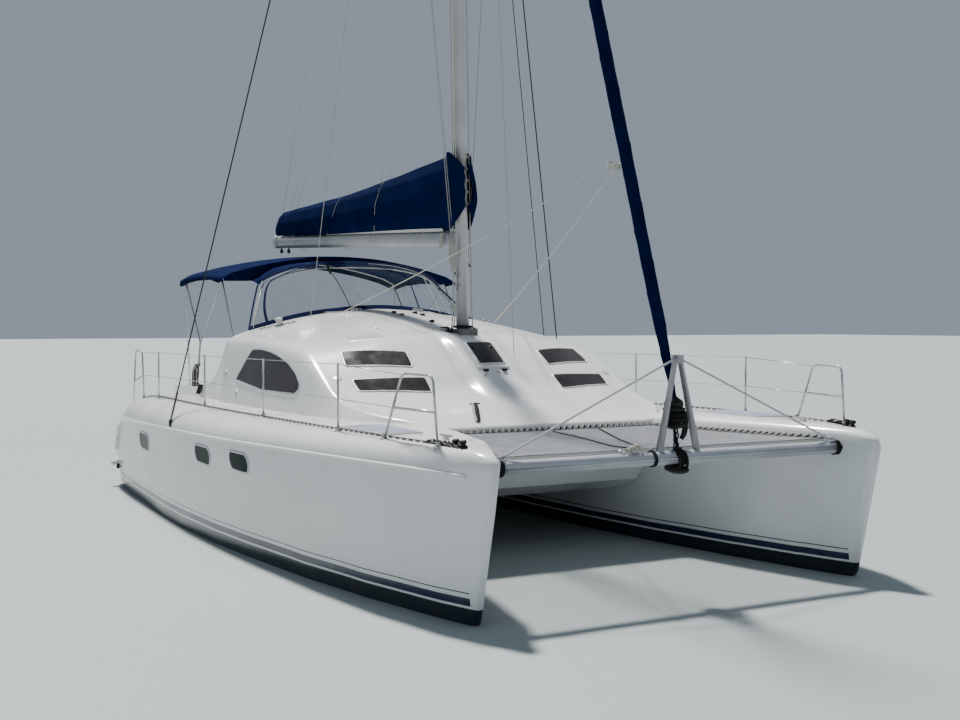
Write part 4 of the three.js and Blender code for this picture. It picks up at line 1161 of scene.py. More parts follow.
BIMINI_AFT, BIMINI_FRONT, BIMINI_HALF = -5.45, -3.05, 1.93
BIMINI_CROWN, BIMINI_FALL = 3.715, 0.324
BIMINI_LIFT = ((-5.45, 0.015), (-5.3, 0.040), (-4.35, 0.065), (-3.3, 0.015), (-3.05, 0.0))
BIMINI_BOWS = (-5.3, -3.3)
BIMINI_STEPS, HALF_WIDTH_STEPS, HANG_STEPS = 60, 40, 5
SIDE_EDGE = (
    (-5.45, 3.29), (-5.3, 3.282), (-4.9, 3.335), (-4.35, 3.352), (-3.7, 3.345), (-3.3, 3.285),
    (-3.05, 3.31),
)
FRONT_EDGE = (
    (0.0, 3.63), (0.5, 3.62), (0.9, 3.572), (1.16, 3.51), (1.3, 3.43), (1.42, 3.34), (1.55, 3.315),
    (1.93, 3.31),
)


def bimini_z(x, y):
    (lift,) = eased_row(BIMINI_LIFT, x)
    return BIMINI_CROWN - BIMINI_FALL * abs(y / BIMINI_HALF) ** 1.95 + lift


def bimini_top(x, y):
    """The cloth between its bows, a little slack, and drawn in round its shoulders."""
    to_bow = min(abs(x - bow) for bow in BIMINI_BOWS)
    slack = 0.014 * math.sin(min(to_bow, 1) * math.pi / 2) ** 2 * (1 - abs(y / BIMINI_HALF) ** 6)
    crease = 0.0025 * math.sin(17 * x + 6 * y) * math.sin(2.9 * y)
    edge = smoothstep(1.80, BIMINI_HALF, abs(y)) * 0.03
    return Vector((x, y, bimini_z(x, y) - 0.004 - slack - edge + crease))


def front_edge(y):
    (low,) = read_table(FRONT_EDGE, abs(y))
    return low


def aft_edge(y):
    return bimini_z(BIMINI_AFT, y) - 0.095 - 0.021 * smoothstep(1.6, BIMINI_HALF, abs(y))


def hanging_side(top, side, low):
    """Points of the cloth turned down from the top's edge, with a slight belly."""
    points = []
    for k in range(1, HANG_STEPS + 1):
        share = k / HANG_STEPS
        belly = 0.010 * math.sin(share * math.pi * 0.8)
        points.append(Vector((top.x, top.y + side * belly, top.z + (low - top.z) * share)))
    return points


def curtain(head, x, side, edge):
    """Rows of the cloth that hangs from the front or the aft end."""
    rows = [head]
    for k in range(1, HANG_STEPS + 1):
        share = k / HANG_STEPS
        out = side * 0.006 * math.sin(share * math.pi)
        rows.append([
            Vector((x + out * (1 - abs(p.y / BIMINI_HALF) ** 8), p.y, p.z + (edge(p.y) - p.z) * share))
            for p in head
        ])
    return rows


def bimini_rows():
    rows = []
    for i in range(BIMINI_STEPS + 1):
        x = BIMINI_AFT + (BIMINI_FRONT - BIMINI_AFT) * i / BIMINI_STEPS
        row = [
            bimini_top(x, BIMINI_HALF * (j / HALF_WIDTH_STEPS - 1)) for j in range(2 * HALF_WIDTH_STEPS + 1)
        ]
        (low,) = read_table(SIDE_EDGE, x)
        rows.append([*hanging_side(row[0], -1, low)[::-1], *row, *hanging_side(row[-1], 1, low)])
    return rows


def bimini_cover(canvas, binding, piping):
    """Awning cloth with its sides turned down, bound along its lower edges."""
    rows = bimini_rows()
    front = curtain(rows[-1][HANG_STEPS:-HANG_STEPS], BIMINI_FRONT, 1, front_edge)
    aft = curtain(rows[0][HANG_STEPS:-HANG_STEPS], BIMINI_AFT, -1, aft_edge)
    top = cloth_grid("bimini_cover", rows, 4.4, 2.4)
    join([top, *(cloth_grid("curtain", sheet, 0.12, 4) for sheet in (front, aft))])
    merge_points(top, 0.004)
    thicken(top, 0.003)
    settle(top, "bimini_cover", "boat", canvas, 50)
    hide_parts("bimini_canopy")
    sides = [[row[0] for row in rows], [row[-1] for row in rows]]
    bound = strand([front[-1], aft[-1], *sides], 0.006, 6)
    assemble("bimini_binding", [bound], binding, "boat")
    corner = [off(p, 0, 0, -0.010) for p in aft[-1][:10]]
    assemble("bimini_piping", [strand([corner[::-1]], 0.005, 6)], piping, "boat")
    straps = []
    for side in (-1, 1):
        for x in (-4.35, -4.9, -3.75):
            (low,) = read_table(SIDE_EDGE, x)
            straps.append([
                (x, side * 1.925, low + 0.01), (x + 0.004, side * 1.915, low - 0.035),
                (x - 0.003, side * 1.905, low - 0.07),
            ])
    assemble("bimini_straps", [strand(straps, 0.010, 6, 0.25)], piping, "boat")


# Dodger

DODGER = (
    # place, foot's y and x, top's y, x and z
    (0, 0.0, -1.60, 0.0, -2.40, 3.60), (1, 0.45, -1.62, 0.40, -2.42, 3.592),
    (2, 0.90, -1.67, 0.78, -2.46, 3.56), (3, 1.27, -1.75, 1.08, -2.52, 3.495),
    (4, 1.55, -1.85, 1.30, -2.59, 3.41), (5, 1.75, -1.95, 1.43, -2.67, 3.33),
    (6, 1.88, -2.03, 1.50, -2.75, 3.25),
)
DODGER_END = 6
SCREEN_STEPS = 84
# Lines on the screen, as places across it and heights from 0 at its foot to 1
BINDING_ARCH = (
    (-4.4, 0.02), (-4.65, 0.3), (-4.7, 0.55), (-4.6, 0.74), (-4.3, 0.85), (-3.5, 0.89), (-2.6, 0.93),
    (-2, 0.91), (-1, 0.89), (0, 0.91), (0.6, 0.89), (1, 0.86), (1.5, 0.81), (1.7, 0.75), (1.65, 0.6),
    (1.55, 0.35), (1.43, 0.02),
)
OUTER_PIPING = (
    (0.3, 0.965), (1.2, 0.95), (2.2, 0.91), (2.7, 0.88), (3.0, 0.84), (3.03, 0.68), (2.95, 0.38),
    (2.85, 0.03),
)
INNER_SEAM = ((2.75, 0.83), (2.62, 0.66), (2.5, 0.45), (2.3, 0.03))
SIDE_SEAM = ((-5.2, 0.98), (-5.5, 0.75), (-5.6, 0.5), (-5.5, 0.02))
ZIP_LINE = ((-1.35, 0.86), (-1.2, 0.6), (-1.1, 0.3), (-1.05, 0.06))
BOW_PLACES = (-5.2, -4.4, -3.4, -2.3, -1.2, 0, 1.2, 2.3, 3.4, 4.4, 5.2)


def dodger_point(place, up, out=0.0):
    """A point on the windscreen: up from 0 at its foot to 1 at its top, out from its face."""
    foot_y, foot_x, top_y, top_x, top_z = eased_row(DODGER, min(abs(place), DODGER_END))
    side = -1 if place < 0 else 1
    foot = on_roof(foot_x, side * foot_y)
    top = Vector((top_x, side * top_y, top_z))
    away = Vector((0.75, 0.3 * side * foot_y, 0.5)).normalized()
    return foot.lerp(top, up) + away * (0.02 * math.sin(math.pi * up) + out)


def dodger_band(low, high, out, up_steps, thickness):
    """A band of the screen from end to end, between two heights."""
    width = 2 * DODGER_END
    rows = [
        [
            dodger_point(-DODGER_END + width * i / SCREEN_STEPS, low + (high - low) * k / up_steps, out)
            for k in range(up_steps + 1)
        ]
        for i in range(SCREEN_STEPS + 1)
    ]
    band = cloth_grid("dodger_band", rows, high - low, width * 0.36)
    thicken(band, thickness)
    return band


def along_dodger(line, out, steps=5):
    flat = curve_through([(a, b, 0) for a, b in line], steps)
    return [dodger_point(p.x, p.y, out) for p in flat]


def dodger_edging(binding, piping, plastic):
    """Canvas hems and arch, white seams, and the zip with its pull."""
    hems = [dodger_band(-0.02, 0.075, 0.004, 3, 0.003), dodger_band(0.955, 1.0, 0.004, 2, 0.003)]
    arch = strand([along_dodger(BINDING_ARCH, 0.006)], 0.024, 8, 0.2)
    ends = [along_dodger([(s * 5.97, up) for up in (0.02, 0.5, 0.98)], 0.003) for s in (-1, 1)]
    edges = strand(ends, 0.016, 8, 0.3)
    assemble("dodger_binding", [*hems, arch, edges], binding, "boat", 60)
    seams = [along_dodger(line, 0.005) for line in (OUTER_PIPING, INNER_SEAM, SIDE_SEAM)]
    assemble("dodger_piping", [strand(seams, 0.0045, 6)], piping, "boat")
    pull = dodger_point(-1.35, 0.84, 0.012)
    zipper = strand([along_dodger(ZIP_LINE, 0.005)], 0.006, 6, 0.5)
    tab = strand([[off(pull, -0.01, -0.02, 0.06), pull, off(pull, 0.01, 0.03, -0.07)]], 0.020, 8, 0.35)
    assemble("dodger_zip", [zipper, tab], plastic, "boat")


def dodger_bow(steel):
    """The bent tube behind the screen."""
    feet = [dodger_point(place, 0.02, -0.10) for place in (-5.8, 5.8)]
    bends = [dodger_point(place, 0.5, -0.07) for place in (-5.6, 5.6)]
    crown = [dodger_point(place, 0.93, -0.06) for place in BOW_PLACES]
    route = curve_through([feet[0], bends[0], *crown, bends[1], feet[1]], 4)
    assemble("dodger_bow", [strand([route], 0.0125, 8)], steel, "boat")


def dodger_roof(canvas):
    """Cloth from the screen's top back to the bimini's front bow, with a slight arch."""
    rows = []
    for i in range(SCREEN_STEPS + 1):
        front = dodger_point(DODGER_END * (2 * i / SCREEN_STEPS - 1), 1.0)
        y = front.y * 1.02
        back = Vector((BIMINI_FRONT - 0.014, y, front_edge(y) - 0.006))
        rows.append([
            off(front.lerp(back, k / 10), 0, 0, 0.012 * math.sin(math.pi * k / 10) + 0.006)
            for k in range(11)
        ])
    roof = cloth_grid("dodger_roof", rows, 0.95, 3.6)
    thicken(roof, 0.003)
    settle(roof, "dodger_roof", "boat", canvas, 60)
    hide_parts("dodger_canopy")
    return roof


def dodger(vinyl, canvas, binding, piping, steel, plastic):
    """Clear windscreen bound with canvas, its bow behind it, and the cloth roof above."""
    screen = dodger_band(0.0, 1.0, 0.0, 16, 0.0012)
    settle(screen, "dodger_screen", "boat", vinyl, 60)
    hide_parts("dodger_window")
    dodger_edging(binding, piping, plastic)
    dodger_bow(steel)
    roof = dodger_roof(canvas)


# Running rigging

MASTHEAD = Vector((0.40, 0, 16.93))
CRANE_TIP = Vector((0.14, 0, 16.93))
PORT_TIP = Vector((0.688, 0.56, 9.33))
STARBOARD_TIP = Vector((PORT_TIP.x, -PORT_TIP.y, PORT_TIP.z))
PORT_LINE_FOOT = (-1.05, 2.55, 1.60)
CLEW = Vector((4.38, 0, 4.33))
JACKS = ((1.80, 10.9), (3.05, 8.9), (4.72, 10.9))
SHEET_LANDINGS = ((-1, (-1.35, -0.62)), (1, (-0.25, 1.15)))
HALYARD_EXITS = ((-0.02, -0.105), (0.05, -0.10), (-0.07, 0.10), (0.03, 0.108))
CRANE_SHEAVE = ((0.045, -0.012), (0.03, -0.004), (0.03, 0.004), (0.045, 0.012))


def masthead_crane(alloy):
    arm = strand([[mast_at(16.9, -0.05), CRANE_TIP]], 0.03, 8, 0.5)
    wheel = turned(CRANE_SHEAVE, (0.16, 0, 16.91), (0, 1, 0), 16)
    assemble("masthead_crane", [arm, wheel], alloy, "boat")


def boom_lines(cream):
    """The topping lift and the lazy jacks, held by the mast above and the boom below."""
    lift = sagging(boom_point(5.18, 0, BOOM_HALF_DEPTH + 0.06), (0.16, 0, 16.90), 0.05, 40)
    topping = assemble("topping_lift", [strand([lift], 0.005, 6)], cream, None)
    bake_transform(topping)
    jacks = []
    for side in (-1, 1):
        for along, height in JACKS:
            depth, half = read_table(COVER, along)
            foot = boom_point(along, side * half * 0.45, BOOM_HALF_DEPTH + depth * 0.93)
            jacks.append(sagging(foot, mast_at(height, -0.02, side * 0.045), 0.0, 30))
    jack_lines = assemble("lazy_jacks", [strand(jacks, 0.0030, 6)], cream, None)
    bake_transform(jack_lines)


def spare_halyards(cream, dark_rope):
    pale = [
        sagging(on_roof(-1.21, -1.25, 0.03), off(MASTHEAD, 0, -0.04, 0), 0.0, 30),
        sagging(on_roof(1.437, 0.47, 0.02), PORT_TIP, 0.0, 20),
        sagging(mast_at(3.62, -0.05, -0.115), STARBOARD_TIP, 0.0, 20),
    ]
    dark = sagging(PORT_LINE_FOOT, off(MASTHEAD, -0.10, 0.02, 0), 0.0, 30)
    assemble("spare_halyards", [strand(pale, 0.005, 6)], cream, "boat")
    assemble("port_halyard", [strand([dark], 0.006, 6)], dark_rope, "boat")


def genoa_sheets(cream):
    """Both sheets from the clew to the roof and aft over it, and the clew's lashing."""
    sheets = []
    for side, (x, y) in SHEET_LANDINGS:
        route = sagging(off(CLEW, -0.05, side * 0.06, 0), on_roof(x, y, 0.045), 0.05, 30)
        tail = [on_roof(x - 0.3 * k, y + side * 0.22 * k, 0.012) for k in (0.4, 1, 1.6, 2.2)]
        sheets.append(curve_through([*route[::6], *tail], 5))
    assemble("genoa_sheets", [strand(sheets, 0.0075, 8)], cream, "boat")
    knot = coil(off(CLEW, -0.04, 0, -0.05), 0.075, (0.2, 0, 1), 2.5, 0.03)
    assemble("clew_lashing", [strand([knot], 0.009, 6)], cream, "boat")


def mast_halyards(cream):
    """Halyards down the mast to blocks at its foot, and their tails aft over the roof."""
    halyards, tails = [], []
    for i, (forward, across) in enumerate(HALYARD_EXITS):
        side = math.copysign(1, across)
        foot = on_roof(0.84 + 0.05 * (i % 2), side * (0.16 + 0.03 * (i % 2)), 0.03)
        halyards.append(curve_through([
            mast_at(16.2, forward * 0.5, across * 0.5), mast_at(9, forward, across * 0.92),
            mast_at(3.3, forward, across * 1.08), foot,
        ], 8))
        tails.append(curve_through([
            foot, on_roof(0.62, side * (0.20 + 0.05 * i), 0.02),
            on_roof(0.13, side * (0.22 + 0.06 * i), 0.014),
            on_roof(-0.5, side * (0.24 + 0.07 * i), 0.014),
            on_roof(-1.15, side * (0.30 + 0.08 * i), 0.014),
        ], 5))
    assemble("halyards", [strand(halyards, 0.0080, 6)], cream, "boat")
    assemble("halyard_tails", [strand(tails, 0.0055, 6)], cream, "boat")


def rope_hanks(cream):
    """Coiled tails hung on the mast and at the boom's inner end."""
    on_mast = [
        loop_about(
            mast_at(3.62 - 0.05 * k, -0.03 + 0.02 * k, -0.12), 5,
            (0.0, 0, 0.14), (-0.04, -0.02, 0.02), (-0.02, -0.03, -0.14),
            (0.03, -0.02, -0.12), (0.02, 0, 0.13),
        )
        for k in range(4)
    ]
    assemble("rope_hank_at_mast", [strand(on_mast, 0.008, 6)], cream, "boat")
    on_boom = [
        loop_about(
            boom_point(0.16 + 0.02 * k, -0.098 - 0.012 * (k % 2), -0.02 - 0.012 * k), 5,
            (0.01, 0, 0.09), (-0.03, -0.01, 0.03), (-0.035, -0.005, -0.05),
            (0.0, -0.01, -0.10), (0.03, 0, -0.04), (0.01, 0, 0.07),
        )
        for k in range(3)
    ]
    assemble("gooseneck_tangle", [strand(on_boom, 0.007, 6)], cream, "boom")


# Gear on the roof

ROOF_SHEAVE = (
    (0.0005, -0.014), (0.022, -0.014), (0.026, -0.006), (0.019, 0.0), (0.026, 0.006), (0.022, 0.014),
    (0.0005, 0.014),
)
WINCH_DRUM = (
    (0.0, 0.0), (0.062, 0.0), (0.062, 0.018), (0.040, 0.030), (0.044, 0.088), (0.056, 0.100),
    (0.056, 0.118), (0.024, 0.128), (0.0, 0.128),
)
MAST_BLOCKS = ((0.83, 0.17), (0.90, 0.185), (0.98, 0.18))
DECK_ORGANISERS = (
    (-0.78, -0.18), (-0.50, -0.19), (-0.70, 0.11), (-0.48, 0.12), (0.136, -0.04), (0.63, -0.12),
)
CLUTCH_LOW, CLUTCH_HIGH = (-0.05, -0.014, -0.02), (0.05, 0.014, 0.035)


def roof_blocks(plastic):
    blocks = []
    for side in (-1, 1):
        for x, y in MAST_BLOCKS:
            spot = on_roof(x, side * y)
            blocks.append(turned(ROOF_SHEAVE, off(spot, 0, 0, 0.035), (0.15, 1, 0), 14))
            blocks.append(block_at(spot, (-0.02, -0.016, -0.02), (0.02, 0.016, 0.012), 0.003))
    for x, y in DECK_ORGANISERS:
        blocks.append(block_at(on_roof(x, y), (-0.035, -0.025, -0.02), (0.035, 0.025, 0.026), 0.005))
    assemble("roof_blocks", blocks, plastic, "boat")


def rope_clutches(alloy):
    clutches = [
        block_at(on_roof(-1.40, side * (0.44 + 0.05 * k)), CLUTCH_LOW, CLUTCH_HIGH, 0.005)
        for side in (-1, 1)
        for k in range(3)
    ]
    assemble("rope_clutches", clutches, alloy, "boat")


def roof_winches(steel):
    winches = [
        turned(WINCH_DRUM, off(on_roof(-1.42, side * 1.62), 0, 0, -0.012), (0, side * 0.25, 1), 24)
        for side in (-1, 1)
    ]
    assemble("roof_winches", winches, steel, "boat")


def sheet_tails(cream):
    """Loose ends of the sheets, lying in bights by the roof winches."""
    tangle = []
    for side in (-1, 1):
        for k in range(5):
            a = 0.9 * k
            tangle.append(curve_through([
                on_roof(
                    -1.28 - 0.09 * k + 0.03 * math.sin(a + j),
                    side * (1.50 + 0.075 * k + 0.05 * math.cos(2.1 * a + 1.9 * j)),
                    0.012 + 0.012 * (j % 2),
                )
                for j in range(6)
            ], 4))
    assemble("sheet_tails", [strand(tangle, 0.0075, 6)], cream, "boat")


# Fittings of the cover, shrouds, boom and mast

COVER_TIES = ((1.80, 0.02), (3.05, 0.45))
BOOM_TIES = (0.62, 1.95, 3.3, 4.5)
BOOM_SHEAVE = (
    (0.0005, -0.016), (0.030, -0.016), (0.036, -0.008), (0.026, 0.0), (0.036, 0.008), (0.030, 0.016),
    (0.0005, 0.016),
)
BOOM_SECTION = (
    (0.5, 1), (0.85, 0.85), (1, 0.5), (1, -0.5), (0.85, -0.85), (0.5, -1), (-0.5, -1), (-0.85, -0.85),
    (-1, -0.5), (-1, 0.5), (-0.85, 0.85), (-0.5, 1), (0.5, 1),
)
MAST_CLEATS = ((3.15, -1), (3.45, 1), (3.3, -1))


def cover_lashings(cream):
    lines = []
    for side in (-1, 1):
        for along, foot in COVER_TIES:
            height, half = read_table(COVER, along)
            lines.append(curve_through([
                boom_point(
                    along + 0.10 * (1 - s) ** 2,
                    side * (half * cover_section(s) * 1.02 + 0.006),
                    BOOM_HALF_DEPTH + height * s,
                )
                for s in (0.98, 0.85, 0.7, 0.5, foot)
            ], 4))
        for along in BOOM_TIES:
            _, half = read_table(COVER, along)
            lines.append(curve_through([
                boom_point(along, side * (half * 0.8 + 0.01), BOOM_HALF_DEPTH + 0.02),
                boom_point(along + 0.02, side * 0.075, 0.0),
                boom_point(along, side * 0.03, -BOOM_HALF_DEPTH - 0.008),
            ], 4))
    assemble("cover_lashings", [strand(lines, 0.0030, 6)], cream, "boom")


def sail_foot(piping):
    """The white edge of the sail between the boom and the cover."""
    feet = []
    for side in (-1, 1):
        rows = []
        for k in range(33):
            along = 0.22 + 0.1 * k
            _, half = read_table(COVER, along)
            inner, outer = 0.052, half * cover_section(0) * 0.95
            low, high = BOOM_HALF_DEPTH + 0.001, BOOM_HALF_DEPTH + 0.012 + cover_rise(along)
            rows.append([
                boom_point(along, side * (inner + (outer - inner) * s), low + (high - low) * s)
                for s in (0, 0.5, 1)
            ])
        feet.append(cloth_grid("sail_foot", rows, 0.1, 3.2))
        thicken(feet[-1], 0.003)
    assemble("sail_foot", feet, piping, "boom")


def flap_lacing(cream, steel):
    """Eyelets down both front flaps and the line laced between them."""
    eyes = [
        circle(mast_at(4.2 + 0.15 * k, 0.134, side * 0.03), 0.011, (1, side * 0.25, 0), 12)
        for k in range(5)
        for side in (-1, 1)
    ]
    lace = curve_through([mast_at(4.2 + 0.075 * k, 0.138, 0.03 * (-1) ** k) for k in range(10)], 2)
    assemble("flap_eyelets", [strand(eyes, 0.003, 6)], steel, "boat")
    assemble("flap_lacing", [strand([lace], 0.004, 6)], cream, "boat")


def shroud_sleeves(wire):
    """Dark sleeves over the cap shrouds above their turnbuckles."""
    for name, side in SIDES:
        foot = Vector((-1.56, side * 3.132, 1.335))
        head = mast_at(16.3, 0.0, side * 0.03)
        run = (head - foot).normalized()

        def along(*reaches):
            return [foot + run * reach for reach in reaches]

        sleeve = strand([[*along(0.42, 4, 9), head - run * 0.3]], 0.0095, 8)
        assemble(f"shroud_sleeve_{name}", [sleeve], wire, "boat")
        screw = strand([along(0.10, 0.14), along(0.14, 0.36), along(0.36, 0.42)], 0.014, 8)
        fork = strand([along(0.0, 0.10)], 0.009, 8)
        assemble(f"turnbuckle_{name}", [screw, fork], wire, "boat")


def boom_end(plastic, alloy):
    """Sheaves that hang under the boom's outer end, and the collar round it."""
    parts = []
    for along in (5.12, 4.86):
        low = boom_point(along, 0, -BOOM_HALF_DEPTH - 0.055)
        parts.append(turned(BOOM_SHEAVE, low, (math.sin(BOOM_YAW), -math.cos(BOOM_YAW), 0), 18))
        parts.append(strand([[off(low, 0, 0, 0.07), low]], 0.012, 8))
    assemble("boom_end_blocks", parts, plastic, "boom")
    collar = [
        [boom_point(along, 0.058 * a * size, 0.088 * b * size) for a, b in BOOM_SECTION]
        for along, size in ((5.19, 1.0), (5.19, 1.14), (5.30, 1.14), (5.312, 1.06), (5.312, 0.02))
    ]
    assemble("boom_end_cap", [cloth_grid("boom_sleeve", collar, 1, 1)], alloy, "boom")


def boom_bails(steel):
    below = -BOOM_HALF_DEPTH - 0.03
    bails = [
        curve_through([
            boom_point(along, across, up)
            for across, up in ((-0.055, -0.05), (-0.045, below), (0.045, below), (0.055, -0.05))
        ], 4)
        for along in (1.4, 2.9, 4.3)
    ]
    assemble("boom_bails", [strand(bails, 0.005, 6)], steel, "boom")


def mast_fittings(alloy, plastic):
    """The sail track, left open where the boom turns, and the cleats and boot below."""
    lower = [mast_at(2.75, -0.118), mast_at(3.58, -0.118)]
    upper = [mast_at(4.0, -0.118), mast_at(9, -0.118), mast_at(16.6, -0.095)]
    assemble("mast_track", [strand([lower, upper], 0.016, 6, 0.5)], alloy, "boat")
    parts = []
    for z, side in MAST_CLEATS:
        spot = mast_at(z, 0.0, side * 0.078)
        out = side * 0.014
        parts.append(strand([[off(spot, -0.05, out, 0.05), off(spot, 0.05, out, -0.05)]], 0.009, 8))
        parts.append(strand([[spot, off(spot, 0, out, 0)]], 0.012, 8))
    parts.append(strand([circle(mast_at(2.63), 0.118, UP, 20)], 0.016, 8))
    assemble("mast_cleats_and_boot", parts, plastic, "boat")


# Toe rails

DECK_EDGE = (
    # x, half width, height
    (-5.3, 2.693, 1.325), (-4.95, 2.678, 1.46), (-4.55, 2.668, 1.515), (-4.15, 2.668, 1.54),
    (-3.4, 2.688, 1.55), (-2.0, 2.733, 1.555), (-1.0, 2.753, 1.56), (0.3, 2.738, 1.565),
    (1.3, 2.708, 1.57), (2.85, 2.668, 1.58), (4.0, 2.608, 1.585), (5.03, 2.468, 1.58),
    (5.49, 2.368, 1.562),
)
RAIL_FEET = (-5.4, -4.76, -3.82, -1.33, 1.0, 3.3, 4.28, 5.16)
RAIL_INSET = ((-3.5, -0.035), (-1.5, 0.025), (1.0, 0.025), (3.2, -0.035))
RAIL_FOOT = ((0.0, 0.0), (0.045, 0.0), (0.045, 0.006), (0.024, 0.012), (0.021, 0.05), (0.0, 0.052))
TOE_AFT, TOE_FRONT = -4.9, 5.35
SLOT_PITCH, SLOT_LENGTH, SLOT_HALF, SLOT_HEIGHT = 0.115, 0.055, 0.007, 0.017
TOE_INSET, TOE_SUNK = 0.004, 0.004
BOX_FACES = ((0, 1, 2, 3), (7, 6, 5, 4), (0, 4, 5, 1), (1, 5, 6, 2), (2, 6, 7, 3), (3, 7, 4, 0))


def deck_edge(x, side, inset=0.0, lift=0.0):
    y, z = read_table(DECK_EDGE, x)
    return Vector((x, side * (y - inset), z + lift))


def rail_slots(side):
    """The short posts between the slots of a toe rail."""
    made = bmesh.new()
    x = TOE_AFT
    across, up = Vector((0, side * SLOT_HALF, 0)), Vector((0, 0, SLOT_HEIGHT))
    while x < TOE_FRONT:
        a, b = [deck_edge(end, side, TOE_INSET, -TOE_SUNK) for end in (x, x + SLOT_LENGTH)]
        corners = [a - across, b - across, b + across, a + across]
        ring = [made.verts.new(p) for p in corners] + [made.verts.new(p + up) for p in corners]
        for quad in BOX_FACES:
            made.faces.new([ring[k] for k in quad])
        x += SLOT_PITCH
    bmesh.ops.recalc_face_normals(made, faces=made.faces)
    return object_of("slots", made)


def toe_rails(dark_alloy, steel, hull_trees):
    """A low slotted rail along each deck edge, and the round feet of the guard rails."""
    for name, side in SIDES:
        top = [deck_edge(TOE_AFT + 0.2 * k, side, TOE_INSET, SLOT_HEIGHT) for k in range(52)]
        rail = [rail_slots(side), strand([top], 0.0055, 6)]
        assemble(f"toe_rail_{name}", rail, dark_alloy, "boat", 30)
        feet = []
        for x in RAIL_FEET:
            (inset,) = read_table(RAIL_INSET, x)
            edge = deck_edge(min(x, 5.2), side, inset)
            spot, _ = land(hull_trees[name], off(edge, *UP))
            feet.append(turned(RAIL_FOOT, off(spot if spot else edge, 0, 0, -0.003), UP, 16))
        assemble(f"rail_feet_{name}", feet, steel, "boat")


# Foredeck

LOCKER_GRIP = ((3.16, 2.16), (4.11, 2.16), (4.11, 2.53), (3.16, 2.56))
FLUSH_HATCH = ((0.39, -1.48), (0.55, -1.015), (0.87, -1.06), (0.725, -1.46))
# x, inset from the deck edge, size
FAIRLEADS = ((4.96, 0.02, 0.7), (5.06, 0.03, 0.8), (5.15, 0.02, 0.7))
BOW_ROLLERS = ((5.30, 2.36), (5.40, 2.34))
ROLLER = (
    (0.0, 0.0), (0.042, 0.0), (0.038, 0.02), (0.022, 0.036), (0.036, 0.058), (0.030, 0.075), (0.0, 0.080),
)
SIDE_VENTS = ((1.40, 2.02), (-1.93, 1.96), (-1.36, 1.71))
ROOF_STUDS = ((1.86, -0.17), (1.83, 0.03), (0.30, -0.93), (-0.81, -0.87))
SIDE_VENT = ((0.0, 0.0), (0.055, 0.0), (0.052, 0.008), (0.030, 0.012), (0.0, 0.012))
ROOF_STUD = ((0.0, 0.0), (0.028, 0.0), (0.024, 0.012), (0.012, 0.018), (0.0, 0.019))


def locker_grip_panel(name, side, pad):
    tree = tree_of(frame["nodes"][f"locker_lid_{name}"])
    outline = rounded_loop([(x, side * y, OVERHEAD) for x, y in LOCKER_GRIP], 0.06)
    pane_and_frame(f"locker_grip_{name}", outline, tree, DOWN, pad, pad, f"locker_lid_{name}", 0.012, 0.003)


def bow_fairlead(name, side, tree, plastic):
    """Low fairleads along the deck edge, and two waisted rollers at the bow."""
    lumps = []
    for x, inset, size in FAIRLEADS:
        spot, _ = land(tree, deck_edge(x, side, inset, 1.0))
        corners = [Vector(c) * size for c in ((-0.04, -0.03, -0.006), (0.04, 0.03, 0.045))]
        lumps.append(block_at(spot, *corners, 0.008))
    for x, y in BOW_ROLLERS:
        spot, _ = land(tree, (x, side * y, OVERHEAD))
        lumps.append(turned(ROLLER, off(spot, 0, 0, -0.004), (0.1, side * 0.15, 1), 14))
    assemble(f"bow_fairlead_{name}", lumps, plastic, "boat")


def bow_lines(name, side, dark_rope, cream):
    """Three lines lying loose along the deck edge by the bow rail."""
    bundle = [
        curve_through([
            deck_edge(
                4.98 + 0.05 * j, side, 0.03 + 0.02 * math.sin(1.9 * j + 2 * k), 0.02 + 0.012 * ((j + k) % 3)
            )
            for j in range(9)
        ], 4)
        for k in range(3)
    ]
    assemble(f"line_by_pulpit_{name}", [strand(bundle[:2], 0.007, 6)], dark_rope, "boat")
    assemble(f"pale_line_by_pulpit_{name}", [strand(bundle[2:], 0.0075, 6)], cream, "boat")


def roof_foot_hank(plastic, dark_rope, cream):
    """A horned cleat on the roof's front slope, with a rope hanked on it."""
    spot = on_roof(2.56, -0.70)
    post = strand([[spot, off(spot, 0.02, -0.01, 0.06)]], 0.012, 8)
    horns = strand([[off(spot, 0.03, -0.075, 0.06), off(spot, 0.01, 0.065, 0.065)]], 0.009, 8)
    assemble("roof_foot_cleat", [post, horns], plastic, "boat")
    hank = []
    for k in range(6):
        lean = 0.006 * (k - 2.5)
        hank.append(curve_through([
            on_roof(2.56, -0.70 + lean, 0.070), on_roof(2.67, -0.74 + lean * 1.4, 0.046 + 0.006 * (k % 3)),
            on_roof(2.80, -0.80 + lean * 1.5, 0.030 + 0.008 * (k % 3)), on_roof(2.96, -0.87 + lean, 0.018),
            on_roof(2.86, -0.84 + lean * 1.5, 0.014), on_roof(2.70, -0.77 + lean * 1.4, 0.018),
            on_roof(2.58, -0.72 + lean, 0.064),
        ], 4))
    assemble("mooring_hank", [strand(hank[1:], 0.010, 6)], dark_rope, "boat")
    assemble("mooring_hank_strand", [strand(hank[:1], 0.010, 6)], cream, "boat")


def small_deck_fittings(trim):
    """Round vents in the roof's sides and small studs on its top."""
    vents = []
    for side in (-1, 1):
        for x, z in SIDE_VENTS:
            spot, normal = land(ROOF_TREE, (x, side * OUTBOARD, z), (0, -side, 0))
            vents.append(turned(SIDE_VENT, spot - normal * 0.002, normal, 20))
    for x, y in ROOF_STUDS:
        spot, normal = land(ROOF_TREE, (x, y, OVERHEAD))
        vents.append(turned(ROOF_STUD, spot - normal * 0.002, normal, 16))
    assemble("small_deck_fittings", vents, trim, "boat")


